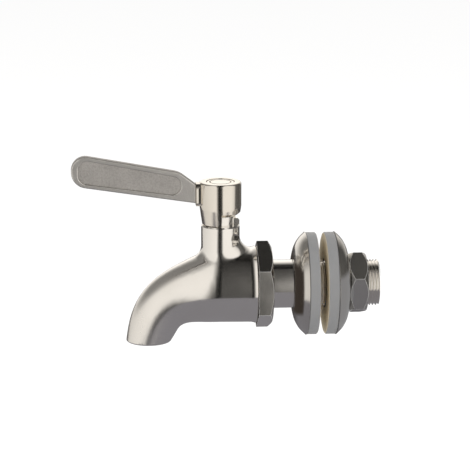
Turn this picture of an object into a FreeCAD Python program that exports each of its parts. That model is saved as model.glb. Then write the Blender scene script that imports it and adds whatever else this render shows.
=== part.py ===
import FreeCAD, Part
import math
import os
import Sketcher

# Beverage dispenser spigot: a cast body with a ball valve, a cap with a paddle lever,
# and a threaded shank whose washers and nut clamp the container's wall.
# Millimetres, +Z up, +X into the container. The origin is on the shank's axis,
# in the face that the front silicone washer presses on the wall.

DRIVING = [
    # Places of the valve and of the clamped wall
    ("stem_reach", 31.3),
    ("wall_gap", 2.7),
    ("shank_reach", 20.6),
    # Barrel, neck and spout
    ("barrel_end", 11.6),
    ("barrel_mouth_rad", 12.65),
    ("barrel_rad", 12.15),
    ("flare_start", 9.2),
    ("barrel_edge", 0.3),
    ("barrel_draft", 0.15),
    ("neck_rad", 6.25),
    ("neck_top", 20.3),
    ("neck_edge", 0.4),
    ("neck_root_fillet", 4.2),
    ("spout_drop", 18.35),
    ("spout_reach", 23.6),
    ("spout_lip_rad", 7.3),
    ("spout_bore_rad", 6.0),
    ("spout_bore_len", 3.0),
    ("spout_lip_edge", 0.45),
    ("spout_waterway_rad", 4.2),
    # Ball and seats
    ("ball_rad", 6.6),
    ("ball_bore_rad", 3.9),
    ("seat_bore_rad", 4.1),
    ("seat_rad", 8.2),
    ("seat_reach", 6.8),
    ("seat_inset", 3.6),
    ("ball_play", 0.1),
    ("slip", 0.05),
    # Tail piece
    ("nose_rad", 9.2),
    ("collar_gap", 0.15),
    ("collar_width", 4.85),
    ("collar_flats", 25.2),
    ("collar_bevel", 1.3),
    ("shank_rad", 7.9),
    ("thread_rad", 7.5),
    ("thread_start", 6.0),
    ("shank_bore_rad", 5.0),
    ("shank_edge", 0.7),
    ("body_seal_width", 1.5),
    ("body_seal_depth", 0.9),
    # Stem
    ("stem_rad", 3.4),
    ("stem_foot", 6.9),
    ("stem_drive_flats", 4.8),
    ("stem_drive_len", 3.5),
    ("tang_width", 2.2),
    ("tang_length", 5.2),
    ("tang_depth", 2.3),
    ("ring_section_rad", 0.7),
    ("ring_share_low", 0.368),
    ("ring_share_high", 0.663),
    ("lock_height", 16.4),
    ("lock_turn", -40.0),
    ("lock_recess_rad", 2.05),
    ("lock_recess_depth", 1.3),
    ("lock_screw_rad", 1.5),
    ("lock_tip_rad", 0.75),
    ("lock_groove_depth", 0.9),
    # Stop tab and collar on the neck
    ("guide_rad", 4.3),
    ("guide_height", 3.0),
    ("tab_reach", 6.2),
    ("tab_height", 1.94),
    ("tab_round", 0.6),
    ("tab_start", 0.5),
    ("tab_sweep", 31.5),
    ("stop_play", 1.0),
    ("handle_travel", 90.0),
    # Cap
    ("cap_rad", 6.8),
    ("cap_top", 34.5),
    ("cap_edge", 0.7),
    ("skirt_gap", 0.25),
    ("skirt_edge", 0.2),
    ("skirt_taper", 0.85),
    ("skirt_bore_rad", 4.6),
    ("glide_thick", 0.5),
    ("web_thick", 2.0),
    ("head_pocket_rad", 3.3),
    ("button_rad", 4.6),
    ("button_thick", 1.1),
    ("button_sunk", 0.15),
    ("button_groove_rad", 3.2),
    ("button_groove_width", 0.4),
    ("button_groove_depth", 0.3),
    ("notch_height", 3.15),
    ("notch_bevel_width", 1.4),
    ("notch_bevel_height", 1.15),
    ("pad_reach", 7.95),
    ("pad_low", 26.7),
    ("pad_high", 34.1),
    ("pad_width", 5.0),
    ("pad_corner", 1.2),
    # Screw on the cap's axis
    ("screw_rad", 1.45),
    ("screw_head_rad", 2.7),
    ("screw_head_height", 1.8),
    ("screw_length", 8.6),
    ("screw_socket_flats", 2.0),
    ("spring_washer_thick", 0.6),
    ("spring_washer_rad", 2.6),
    # Paddle lever
    ("lever_tip", 48.1),
    ("lever_thick", 3.0),
    ("lever_tip_low", 33.75),
    ("lever_tip_high", 44.2),
    ("lever_tip_corner_low", 5.2),
    ("lever_tip_corner_high", 4.6),
    ("lever_root_low", 27.6),
    ("lever_root_high", 33.7),
    ("lever_shoulder", 13.4),
    ("lever_shoulder_high", 37.85),
    ("lever_shoulder_round", 7.0),
    ("lever_edge", 0.45),
    ("panel_tip", 2.2),
    ("panel_rim_tip", 1.2),
    ("panel_rim_root", 1.7),
    ("panel_root", 12.7),
    ("panel_depth", 0.55),
    ("panel_corner", 3.0),
    ("panel_edge", 0.3),
    ("tenon_rad", 1.2),
    ("tenon_length", 2.6),
    # Washers and nut
    ("cup_thick", 0.9),
    ("cup_hole_rad", 8.15),
    ("cup_flat_rad", 9.75),
    ("cup_rad", 16.85),
    ("cup_depth", 4.1),
    ("cup_lip", 0.1),
    ("cup_dome_round", 8.5),
    ("cup_flat_round", 6.0),
    ("soft_step", 0.15),
    ("soft_proud", 3.5),
    ("soft_inset", 0.9),
    ("soft_hole_rad", 8.0),
    ("soft_edge", 0.3),
    ("nut_flats", 18.6),
    ("nut_thick", 5.9),
    ("nut_turn", 10.0),
    ("nut_bevel", 1.6),
    ("nut_bore_edge", 0.8),
]

doc = FreeCAD.newDocument("spigot")


def make_sheet():
    """The spreadsheet of driving dimensions, one alias to each row."""
    sheet = doc.addObject("Spreadsheet::Sheet", "Dims")
    for row, (alias, size) in enumerate(DRIVING, start=1):
        sheet.set("A%d" % row, alias.replace("_", " "))
        sheet.set("B%d" % row, str(size))
        sheet.setAlias("B%d" % row, alias)
    doc.recompute()
    return sheet


dims = make_sheet()


def bound(text):
    """An expression with each alias in angle brackets written out as the sheet's own."""
    return text.replace("<", "Dims.").replace(">", "")


def number(text):
    """The present value of such an expression."""
    return float(dims.evalExpression(bound(text)))


def make_body(label, at_stem=False):
    """A body in the part's frame, or on the valve's own axis if at_stem is true."""
    body = doc.addObject("PartDesign::Body", label)
    body.Label = label
    if at_stem:
        body.setExpression("Placement.Base.x", bound("-<stem_reach>"))
    return body


def plane_of(body, role):
    """One of the body's own origin planes."""
    return [item for item in body.Origin.OriginFeatures if item.Role == role][0]


def make_sketch(body, name, role, lift="", turn="", swing=""):
    """An empty sketch on an origin plane, lifted along its normal, turned or swung about Z."""
    sketch = body.newObject("Sketcher::SketchObject", name)
    sketch.AttachmentSupport = [(plane_of(body, role), "")]
    sketch.MapMode = "FlatFace"
    angle = turn or swing
    if angle:
        upright = FreeCAD.Vector(0, 0, 1) if turn else FreeCAD.Vector(0, 1, 0)
        rotation = FreeCAD.Rotation(upright, number(angle))
        sketch.AttachmentOffset = FreeCAD.Placement(FreeCAD.Vector(), rotation)
        sketch.setExpression("AttachmentOffset.Rotation.Angle", bound(angle))
    if lift:
        sketch.setExpression("AttachmentOffset.Base.z", bound(lift))
    return sketch


def pin_point(sketch, index, place, corner):
    """Tie one point of a sketch to the sheet, by its two distances from the origin."""
    for kind, text in (("DistanceX", corner[0]), ("DistanceY", corner[1])):
        made = sketch.addConstraint(Sketcher.Constraint(kind, -1, 1, index, place, number(text)))
        sketch.setExpression("Constraints[%d]" % made, bound(text))


def draw_outline(sketch, corners, guide=False):
    """A closed outline of straight lines through corners given as pairs of expressions."""
    first = sketch.GeometryCount
    spots = [FreeCAD.Vector(number(u), number(v), 0) for u, v in corners]
    count = len(spots)
    for i in range(count):
        sketch.addGeometry(Part.LineSegment(spots[i], spots[(i + 1) % count]), guide)
    for i in range(count):
        joined = first + (i + 1) % count
        sketch.addConstraint(Sketcher.Constraint("Coincident", first + i, 2, joined, 1))
    for i in range(count):
        pin_point(sketch, first + i, 1, corners[i])


def draw_rounded_outline(sketch, corners, size):
    """The same outline, its corners given anticlockwise, with each corner an arc."""
    draw_outline(sketch, corners, guide=True)
    spots = [FreeCAD.Vector(number(u), number(v), 0) for u, v in corners]
    count = len(spots)
    radius = number(size)
    starts, middles, ends = [], [], []
    for i, spot in enumerate(spots):
        back = (spots[i - 1] - spot).normalize()
        ahead = (spots[(i + 1) % count] - spot).normalize()
        half = back.getAngle(ahead) / 2
        inward = (back + ahead).normalize()
        starts.append(spot + back * (radius / math.tan(half)))
        ends.append(spot + ahead * (radius / math.tan(half)))
        middles.append(spot + inward * (radius / math.sin(half) - radius))
    for i in range(count):
        sketch.addGeometry(Part.LineSegment(ends[i], starts[(i + 1) % count]), False)
    for i in range(count):
        sketch.addGeometry(Part.Arc(starts[i], middles[i], ends[i]), False)
    for i in range(count):
        line, arc, line_before = count + i, 2 * count + i, count + (i - 1) % count
        sketch.addConstraint(Sketcher.Constraint("PointOnObject", line, 1, i))
        sketch.addConstraint(Sketcher.Constraint("PointOnObject", line, 2, i))
        sketch.addConstraint(Sketcher.Constraint("Tangent", line_before, 2, arc, 1))
        sketch.addConstraint(Sketcher.Constraint("Tangent", arc, 2, line, 1))
        made = sketch.addConstraint(Sketcher.Constraint("Radius", arc, radius))
        sketch.setExpression("Constraints[%d]" % made, bound(size))


def draw_circle(sketch, radius, centre=("0", "0")):
    """A circle whose radius and centre follow the sheet."""
    index = sketch.GeometryCount
    middle = FreeCAD.Vector(number(centre[0]), number(centre[1]), 0)
    circle = Part.Circle(middle, FreeCAD.Vector(0, 0, 1), number(radius))
    sketch.addGeometry(circle, False)
    made = sketch.addConstraint(Sketcher.Constraint("Radius", index, number(radius)))
    sketch.setExpression("Constraints[%d]" % made, bound(radius))
    pin_point(sketch, index, 3, centre)


def turn_profile(
    body, name, corners, axis="V_Axis", kind="Revolution", role="XZ_Plane", sweep="", **where
):
    """Revolve an outline about one of its sketch's axes, to add metal or to cut it away."""
    sketch = make_sketch(body, name + "_sketch", role, **where)
    draw_outline(sketch, corners)
    feature = body.newObject("PartDesign::" + kind, name)
    feature.Profile = sketch
    feature.ReferenceAxis = (sketch, [axis])
    feature.Angle = 360
    if sweep:
        feature.setExpression("Angle", bound(sweep))
    doc.recompute()
    return feature


def extrude(body, name, sketch, length, kind="Pad", back=False, both=False):
    """Pad or pocket a sketch by a length that follows the sheet."""
    feature = body.newObject("PartDesign::" + kind, name)
    feature.Profile = sketch
    feature.setExpression("Length", bound(length))
    feature.Reversed = back
    feature.Midplane = both
    doc.recompute()
    return feature


def round_edges(body, name, test, size, kind="Fillet"):
    """Fillet or chamfer the edges of the body's latest feature that pass a test."""
    feature = body.Tip
    names = []
    for i, edge in enumerate(feature.Shape.Edges, start=1):
        if test(edge):
            names.append("Edge%d" % i)
    made = body.newObject("PartDesign::" + kind, name)
    made.Base = (feature, names)
    made.setExpression("Radius" if kind == "Fillet" else "Size", bound(size))
    doc.recompute()
    return made


def is_level_ring(edge, level, radius):
    """Whether an edge is a ring round the upright axis, at this level and radius."""
    for spot in edge.discretize(7):
        if abs(spot.z - level) > 0.02 or abs(math.hypot(spot.x, spot.y) - radius) > 0.02:
            return False
    return True


def is_cross_ring(edge, corner):
    """Whether an edge is a ring round the shank through a corner of a turned section."""
    along, radius = (number(text) for text in corner)
    box = edge.BoundBox
    level = box.XMax - box.XMin < 0.01 and abs(box.XMin - along) < 0.01
    return level and abs((box.YMax - box.YMin) / 2 - radius) < 0.01


def hexagon(flats, turn="0"):
    """Corners of a hexagon, one of them straight up before it is turned."""
    corner = "%s / 2 / cos(30)" % flats
    return [
        ("%s * cos(%d + %s)" % (corner, angle, turn), "%s * sin(%d + %s)" % (corner, angle, turn))
        for angle in range(90, 450, 60)
    ]


def box_corners(left, right, low, high):
    """The four corners of a rectangle."""
    return [(left, low), (right, low), (right, high), (left, high)]


# Round sections down the spout's middle line: how far along its reach, how far down its
# drop, the section's lean in degrees, and how far its radius has gone from barrel to lip.
SPOUT_RINGS = [
    (0.150, 0.022, 1.5, 0.080),
    (0.380, 0.095, 8.0, 0.350),
    (0.600, 0.205, 22.0, 0.600),
    (0.780, 0.370, 41.0, 0.755),
    (0.900, 0.600, 62.0, 0.855),
    (0.962, 0.820, 77.5, 0.937),
    (1.0, 1.0, 90.0, 1.0),
]
WATERWAY_RINGS = slice(1, 5)


def ring_section(body, name, along, down, lean, radius):
    """A round section on the spout's middle line, square to the way the water runs."""
    sketch = body.newObject("Sketcher::SketchObject", name)
    sketch.AttachmentSupport = [(plane_of(body, "YZ_Plane"), "")]
    sketch.MapMode = "FlatFace"
    sketch.AttachmentOffset = FreeCAD.Placement(
        FreeCAD.Vector(0, -number(down), -number(along)),
        FreeCAD.Rotation(FreeCAD.Vector(1, 0, 0), -lean),
    )
    sketch.setExpression("AttachmentOffset.Base.y", bound("-(%s)" % down))
    sketch.setExpression("AttachmentOffset.Base.z", bound("-(%s)" % along))
    draw_circle(sketch, radius)
    return sketch


def make_spout(body):
    """The spout's outside: round sections that shrink from the barrel to the lip."""
    root = ring_section(body, "spout_root", "0", "0", 0, "<barrel_rad>")
    rings = []
    for i, (along, down, lean, taper) in enumerate(SPOUT_RINGS):
        radius = "<barrel_rad> + (<spout_lip_rad> - <barrel_rad>) * %g" % taper
        place = ("<spout_reach> * %g" % along, "<spout_drop> * %g" % down)
        rings.append(ring_section(body, "spout_ring_%d" % (i + 1), *place, lean, radius))
    spout = body.newObject("PartDesign::AdditiveLoft", "spout")
    spout.Profile = root
    spout.Sections = rings
    doc.recompute()
    low = -number("<spout_drop>")

    def is_lip(edge):
        return all(abs(spot.z - low) < 0.02 for spot in edge.discretize(5))

    round_edges(body, "lip_edge", is_lip, "<spout_lip_edge>")


# Steps of the flare at the barrel's mouth, as shares of its length
FLARE_SHARES = (0, 0.25, 0.5, 0.75, 1)


def make_barrel_and_neck(body):
    """The barrel round the ball, and the neck that carries the stem."""
    turn_profile(
        body,
        "barrel",
        [
            ("0", "0"),
            ("<barrel_end>", "0"),
            ("<barrel_end>", "<barrel_rad> + <barrel_draft>"),
            ("0", "<barrel_rad>"),
        ],
        axis="H_Axis",
    )
    turn_profile(
        body,
        "neck",
        [
            ("0", "0"),
            ("<neck_rad>", "0"),
            ("<neck_rad>", "<neck_top> - <neck_edge>"),
            ("<neck_rad> - <neck_edge>", "<neck_top>"),
            ("0", "<neck_top>"),
        ],
    )
    around = number("<neck_rad>") + 0.1
    low = number("<barrel_rad>") * 0.5
    high = number("<barrel_mouth_rad>") + 0.1

    def at_root(edge):
        box = edge.BoundBox
        inside = max(abs(box.XMin), abs(box.XMax), abs(box.YMin), abs(box.YMax)) < around
        return inside and box.ZMin > low and box.ZMax < high

    round_edges(body, "neck_root", at_root, "<neck_root_fillet>")
    root = "(<barrel_rad> + <barrel_draft> * <flare_start> / <barrel_end>)"
    flare = [
        (
            "<flare_start> + (<barrel_end> - <barrel_edge> - <flare_start>) * %g" % share,
            "%s + (<barrel_mouth_rad> - %s) * %g" % (root, root, share ** 2),
        )
        for share in FLARE_SHARES
    ]
    inner = "<barrel_rad> - 1"
    end = [("<barrel_end>", "<barrel_mouth_rad> - <barrel_edge>"), ("<barrel_end>", inner)]
    turn_profile(body, "mouth_flare", [("<flare_start>", inner)] + flare + end, axis="H_Axis")


def make_stop(body):
    """The collar that guides the cap, and the tab that stops it after a quarter turn."""
    turn_profile(
        body,
        "guide_collar",
        [
            ("0", "<neck_top> - 1"),
            ("<guide_rad>", "<neck_top> - 1"),
            ("<guide_rad>", "<neck_top> + <guide_height>"),
            ("0", "<neck_top> + <guide_height>"),
        ],
    )
    turn_profile(
        body,
        "stop_tab",
        [
            ("<guide_rad> - <slip>", "<neck_top> - 1"),
            ("<tab_reach>", "<neck_top> - 1"),
            ("<tab_reach>", "<neck_top> + <tab_height> - <tab_round>"),
            ("<tab_reach> - <tab_round>", "<neck_top> + <tab_height>"),
            ("<guide_rad> - <slip>", "<neck_top> + <tab_height>"),
        ],
        swing="<tab_start>",
        sweep="<tab_sweep>",
    )


def bore_valve_body(body):
    """The ball's chamber, the stem's bore, the lock screw's recess and the waterway."""
    turn_profile(
        body,
        "chamber",
        [
            ("-<seat_reach>", "0"),
            ("<barrel_end> + 1", "0"),
            ("<barrel_end> + 1", "<nose_rad> + <slip> + <body_seal_width>"),
            ("<barrel_end> - <body_seal_depth> + <collar_gap>", "<nose_rad> + <slip> + <body_seal_width>"),
            ("<barrel_end> - <body_seal_depth> + <collar_gap>", "<nose_rad> + <slip>"),
            ("<seat_reach>", "<nose_rad> + <slip>"),
            ("<seat_reach>", "<seat_rad> + <slip>"),
            ("-<seat_reach>", "<seat_rad> + <slip>"),
        ],
        axis="H_Axis",
        kind="Groove",
    )
    turn_profile(
        body,
        "stem_bore",
        [
            ("0", "0"),
            ("<stem_rad> + <slip>", "0"),
            ("<stem_rad> + <slip>", "<neck_top> + <guide_height> + 1"),
            ("0", "<neck_top> + <guide_height> + 1"),
        ],
        kind="Groove",
    )
    turn_profile(
        body,
        "lock_hole",
        [
            ("<stem_rad>", "0"),
            ("<neck_rad> + 2", "0"),
            ("<neck_rad> + 2", "<lock_recess_rad>"),
            ("<neck_rad> - <lock_recess_depth>", "<lock_recess_rad>"),
            ("<neck_rad> - <lock_recess_depth>", "<lock_screw_rad> + <slip>"),
            ("<stem_rad>", "<lock_screw_rad> + <slip>"),
        ],
        axis="H_Axis",
        kind="Groove",
        role="XY_Plane",
        lift="<lock_height>",
        turn="<lock_turn>",
    )
    start = ring_section(body, "waterway_start", "<seat_reach> - 0.4", "0", 0, "<spout_waterway_rad>")
    rings = []
    for i, (along, down, lean, _) in enumerate(SPOUT_RINGS[WATERWAY_RINGS]):
        radius = "<spout_waterway_rad> + (<spout_bore_rad> - <spout_waterway_rad>) * %g" % along
        place = ("<spout_reach> * %g" % along, "<spout_drop> * %g" % down)
        rings.append(ring_section(body, "waterway_ring_%d" % (i + 1), *place, lean, radius))
    top = "<spout_drop> - 0.8 * <spout_bore_len>"
    inner = "<spout_bore_rad> - 4 * <slip>"
    rings.append(ring_section(body, "waterway_end", "<spout_reach>", top, 90, inner))
    waterway = body.newObject("PartDesign::SubtractiveLoft", "waterway")
    waterway.Profile = start
    waterway.Sections = rings
    doc.recompute()
    mouth = make_sketch(body, "outlet_sketch", "XY_Plane", lift="-<spout_drop>")
    draw_circle(mouth, "<spout_bore_rad>", ("-<spout_reach>", "0"))
    extrude(body, "outlet_bore", mouth, "<spout_bore_len>", kind="Pocket", back=True)


def make_valve_body():
    """The cast body, bored for the ball, the seats, the stem and the water."""
    body = make_body("valve_body", at_stem=True)
    make_spout(body)
    make_barrel_and_neck(body)
    make_stop(body)
    bore_valve_body(body)


# Tail piece and its seal

def make_tail_shank():
    """The tail piece: a nose in the body, a hexagon collar and the threaded shank."""
    body = make_body("tail_shank")
    nose = "-<stem_reach> + <seat_reach>"
    collar = "-<stem_reach> + <barrel_end> + <collar_gap>"
    far = collar + " + <collar_width>"
    turn_profile(
        body,
        "shank",
        [
            (nose, "0"),
            ("<shank_reach>", "0"),
            ("<shank_reach>", "<thread_rad> - <shank_edge>"),
            ("<shank_reach> - <shank_edge>", "<thread_rad>"),
            ("-<thread_start>", "<thread_rad>"),
            ("-<thread_start> - <shank_rad> + <thread_rad>", "<shank_rad>"),
            (collar, "<shank_rad>"),
            (collar, "<nose_rad>"),
            (nose, "<nose_rad>"),
        ],
        axis="H_Axis",
    )
    sketch = make_sketch(body, "collar_sketch", "YZ_Plane", lift=collar)
    draw_outline(sketch, hexagon("<collar_flats>"))
    extrude(body, "collar", sketch, "<collar_width>")
    flat = "<collar_flats> / 2 - 0.15"
    turn_profile(
        body,
        "collar_bevel",
        [
            (far + " - <collar_bevel>", "(%s) + <collar_bevel> * 1.732" % flat),
            (far, flat),
            (far + " + 1", flat),
            (far + " + 1", "(%s) + <collar_bevel> * 1.732" % flat),
        ],
        axis="H_Axis",
        kind="Groove",
    )
    turn_profile(
        body,
        "shank_bore",
        [
            (nose + " - 1", "0"),
            ("<shank_reach> + 1", "0"),
            ("<shank_reach> + 1", "<shank_bore_rad>"),
            (nose + " - 1", "<shank_bore_rad>"),
        ],
        axis="H_Axis",
        kind="Groove",
    )


def make_body_seal():
    """The flat ring between the body's mouth and the hexagon collar."""
    body = make_body("body_seal", at_stem=True)
    near = "<barrel_end> + <collar_gap> - <body_seal_depth>"
    far = "<barrel_end> + <collar_gap>"
    inner = "<nose_rad> + <slip>"
    outer = "<nose_rad> + <body_seal_width>"
    turn_profile(body, "ring", box_corners(near, far, inner, outer), axis="H_Axis")


# Ball, seats and stem

def make_ball():
    """The bored ball, shut as shown: its bore lies across the waterway."""
    body = make_body("ball", at_stem=True)
    sphere = body.newObject("PartDesign::AdditiveSphere", "sphere")
    sphere.setExpression("Radius", bound("<ball_rad>"))
    doc.recompute()
    sketch = make_sketch(body, "bore_sketch", "XZ_Plane")
    draw_circle(sketch, "<ball_bore_rad>")
    extrude(body, "bore", sketch, "4 * <ball_rad>", kind="Pocket", both=True)
    slot = make_sketch(body, "slot_sketch", "XY_Plane", lift="<stem_foot> - <tang_depth> - <slip>")
    half = "<tang_width> / 2 + <slip>"
    draw_outline(slot, box_corners("-<ball_rad>", "<ball_rad>", "-(%s)" % half, half))
    extrude(body, "slot", slot, "<ball_rad>", kind="Pocket", back=True)


def make_seat(label, side):
    """A seat ring, hollowed to the ball's own curve; side is -1 in front and 1 behind."""
    body = make_body(label, at_stem=True)
    near = "%d * <seat_inset>" % side
    far = "%d * <seat_reach>" % side
    turn_profile(body, "ring", box_corners(near, far, "<seat_bore_rad>", "<seat_rad>"), axis="H_Axis")
    hollow = body.newObject("PartDesign::SubtractiveSphere", "hollow")
    hollow.setExpression("Radius", bound("<ball_rad> + <ball_play>"))
    doc.recompute()


LOW_RING = "(<stem_foot> + (<lock_height> - <stem_foot>) * <ring_share_low>)"
HIGH_RING = "(<stem_foot> + (<lock_height> - <stem_foot>) * <ring_share_high>)"


def make_stem():
    """The spindle: a tang below, two ring grooves, the lock groove and a square drive."""
    body = make_body("stem", at_stem=True)
    top = "<neck_top> + <guide_height> + <glide_thick> + <slip>"
    profile = [("0", "<stem_foot>"), ("<stem_rad>", "<stem_foot>")]
    floor = "<stem_rad> - 2 * <ring_section_rad>"
    for height in (LOW_RING, HIGH_RING):
        low = "%s - <ring_section_rad> - <slip>" % height
        high = "%s + <ring_section_rad> + <slip>" % height
        profile += [("<stem_rad>", low), (floor, low), (floor, high), ("<stem_rad>", high)]
    low = "<lock_height> - <lock_tip_rad> - <slip>"
    high = "<lock_height> + <lock_tip_rad> + <slip>"
    floor = "<stem_rad> - <lock_groove_depth>"
    profile += [("<stem_rad>", low), (floor, low), (floor, high), ("<stem_rad>", high)]
    profile += [("<stem_rad>", top), ("0", top)]
    turn_profile(body, "spindle", profile)
    tang = make_sketch(body, "tang_sketch", "XY_Plane", lift="<stem_foot> - <tang_depth>")
    half_long = "<tang_length> / 2"
    half_wide = "<tang_width> / 2"
    draw_outline(tang, box_corners("-" + half_long, half_long, "-" + half_wide, half_wide))
    extrude(body, "tang", tang, "<tang_depth> + <slip>")
    drive = make_sketch(body, "drive_sketch", "XY_Plane", lift=top)
    half = "<stem_drive_flats> / 2"
    draw_outline(drive, box_corners("-" + half, half, "-" + half, half))
    extrude(body, "drive", drive, "<stem_drive_len>")
    hole_top = top + " + <stem_drive_len> + 1"
    hole_low = "%s + <stem_drive_len> + <web_thick> - <screw_length> + <spring_washer_thick> - 0.6" % top
    turn_profile(
        body, "screw_hole", box_corners("0", "<screw_rad> + <slip>", hole_low, hole_top), kind="Groove"
    )


def make_stem_ring(label, height):
    """A round-section sealing ring in a groove of the stem."""
    body = make_body(label, at_stem=True)
    sketch = make_sketch(body, "section", "XZ_Plane")
    draw_circle(sketch, "<ring_section_rad> - <slip>", ("<stem_rad> - <ring_section_rad>", height))
    ring = body.newObject("PartDesign::Revolution", "ring")
    ring.Profile = sketch
    ring.ReferenceAxis = (sketch, ["V_Axis"])
    ring.Angle = 360
    doc.recompute()


def make_lock_screw():
    """The small screw in the neck, whose tip runs in the stem's groove."""
    body = make_body("stem_lock_screw", at_stem=True)
    tip = "<stem_rad> - <lock_groove_depth> + <ball_play>"
    turn_profile(
        body,
        "screw",
        [
            (tip, "0"),
            ("<neck_rad> - <lock_recess_depth>", "0"),
            ("<neck_rad> - <lock_recess_depth>", "<lock_screw_rad>"),
            ("<stem_rad> + 2 * <slip>", "<lock_screw_rad>"),
            ("<stem_rad> + 2 * <slip>", "<lock_tip_rad>"),
            (tip, "<lock_tip_rad>"),
        ],
        axis="H_Axis",
        role="XY_Plane",
        lift="<lock_height>",
        turn="<lock_turn>",
    )


# Cap and its fastening

CAP_STEP = "<neck_top> + <guide_height> + <glide_thick> + <slip>"
WEB_LOW = CAP_STEP + " + <stem_drive_len> + <slip>"
WEB_HIGH = WEB_LOW + " + <web_thick>"
BUTTON_SEAT = "<cap_top> - <button_sunk> - <button_thick>"


def make_glide_washer():
    """The slippery washer that the cap turns on."""
    body = make_body("glide_washer", at_stem=True)
    low = "<neck_top> + <guide_height> + <slip>"
    corners = box_corners("<stem_rad> + <slip>", "<guide_rad>", low, low + " + <glide_thick> - <slip>")
    turn_profile(body, "washer", corners)


def make_handle_hub():
    """The cap: a stepped skirt with a notch, a pad for the lever, and a screw pocket."""
    body = make_body("handle_hub", at_stem=True)
    skirt = "<neck_top> + <skirt_gap>"
    turn_profile(
        body,
        "outside",
        [
            ("0", skirt),
            ("<cap_rad> - <skirt_taper> - <skirt_edge>", skirt),
            ("<cap_rad> - <skirt_taper>", skirt + " + <skirt_edge>"),
            ("<cap_rad>", "<pad_low>"),
            ("<cap_rad>", "<cap_top>"),
            ("0", "<cap_top>"),
        ],
    )
    pad = make_sketch(body, "pad_sketch", "YZ_Plane", lift="-<pad_reach>")
    half = "<pad_width> / 2"
    draw_outline(pad, box_corners("-" + half, half, "<pad_low>", "<pad_high>"))
    extrude(body, "lever_pad", pad, "<pad_reach> - <cap_rad> / 2")
    round_edges(body, "pad_corners", is_pad_corner, "<pad_corner>")
    top, around = number("<cap_top>"), number("<cap_rad>")
    round_edges(body, "cap_round", lambda edge: is_level_ring(edge, top, around), "<cap_edge>")
    turn_profile(
        body,
        "skirt_bore",
        box_corners("0", "<skirt_bore_rad>", skirt + " - 1", CAP_STEP),
        kind="Groove",
    )
    socket = make_sketch(body, "socket_sketch", "XY_Plane", lift=CAP_STEP + " - 0.5")
    half = "<stem_drive_flats> / 2 + <slip>"
    draw_outline(socket, box_corners("-(%s)" % half, half, "-(%s)" % half, half))
    extrude(body, "drive_socket", socket, "<stem_drive_len> + <slip> + 0.5", kind="Pocket", back=True)
    turn_profile(
        body,
        "screw_pocket",
        [
            ("0", WEB_LOW + " - 1"),
            ("<screw_rad> + <ball_play>", WEB_LOW + " - 1"),
            ("<screw_rad> + <ball_play>", WEB_HIGH),
            ("<head_pocket_rad>", WEB_HIGH),
            ("<head_pocket_rad>", BUTTON_SEAT),
            ("<button_rad> + <slip>", BUTTON_SEAT),
            ("<button_rad> + <slip>", "<cap_top> + 1"),
            ("0", "<cap_top> + 1"),
        ],
        kind="Groove",
    )
    tenon = make_sketch(body, "tenon_hole_sketch", "YZ_Plane", lift="-<pad_reach>")
    draw_circle(tenon, "<tenon_rad> + <slip>", ("0", TENON_HEIGHT))
    extrude(body, "tenon_hole", tenon, "<tenon_length> + <slip>", kind="Pocket", back=True)
    cut_notch(body, skirt)


def is_pad_corner(edge):
    """Whether an edge is one of the pad's four long corners."""
    box = edge.BoundBox
    if box.YMax - box.YMin > 0.01 or box.ZMax - box.ZMin > 0.01 or box.XMax - box.XMin < 0.2:
        return False
    return abs(abs(box.Center.y) - number("<pad_width>") / 2) < 0.01


def cut_notch(body, skirt):
    """The skirt's notch, which runs over the stop tab, and its bevelled upper edge."""
    sketch = make_sketch(body, "notch_sketch", "XY_Plane", lift=skirt + " - 1")
    far = "1.4 * <cap_rad>"
    corners = [("0", "0")]
    for third in range(4):
        angle = "(%s + %s * %d / 3)" % (NOTCH_START, NOTCH_SWEEP, third)
        corners.append(("%s * cos%s" % (far, angle), "%s * sin%s" % (far, angle)))
    draw_outline(sketch, corners)
    extrude(body, "notch", sketch, "<notch_height> + 1", kind="Pocket", back=True)
    top = skirt + " + <notch_height>"
    spare = 0.5
    turn_profile(
        body,
        "notch_bevel",
        [
            ("<cap_rad> - <notch_bevel_width>", top + " - 0.5"),
            ("<cap_rad> + %g" % spare, top + " - 0.5"),
            (
                "<cap_rad> + %g" % spare,
                top + " + <notch_bevel_height> * (<notch_bevel_width> + %g) / <notch_bevel_width>" % spare,
            ),
            ("<cap_rad> - <notch_bevel_width>", top),
        ],
        kind="Groove",
        swing=NOTCH_START,
        sweep=NOTCH_SWEEP,
    )


NOTCH_START = "(<tab_start> - <stop_play> - <handle_travel>)"
NOTCH_SWEEP = "(<handle_travel> + <tab_sweep> + 2 * <stop_play>)"
TENON_HEIGHT = "((<lever_root_low> + <lever_root_high>) / 2)"


def make_hub_button():
    """The disc let into the cap's top, with a plain ring groove."""
    body = make_body("hub_button", at_stem=True)
    low = BUTTON_SEAT
    high = low + " + <button_thick>"
    turn_profile(
        body,
        "disc",
        [
            ("0", low),
            ("<button_rad>", low),
            ("<button_rad>", high + " - 0.25"),
            ("<button_rad> - 0.25", high),
            ("<button_groove_rad> + <button_groove_width>", high),
            ("<button_groove_rad> + <button_groove_width>", high + " - <button_groove_depth>"),
            ("<button_groove_rad>", high + " - <button_groove_depth>"),
            ("<button_groove_rad>", high),
            ("0", high),
        ],
    )


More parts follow.
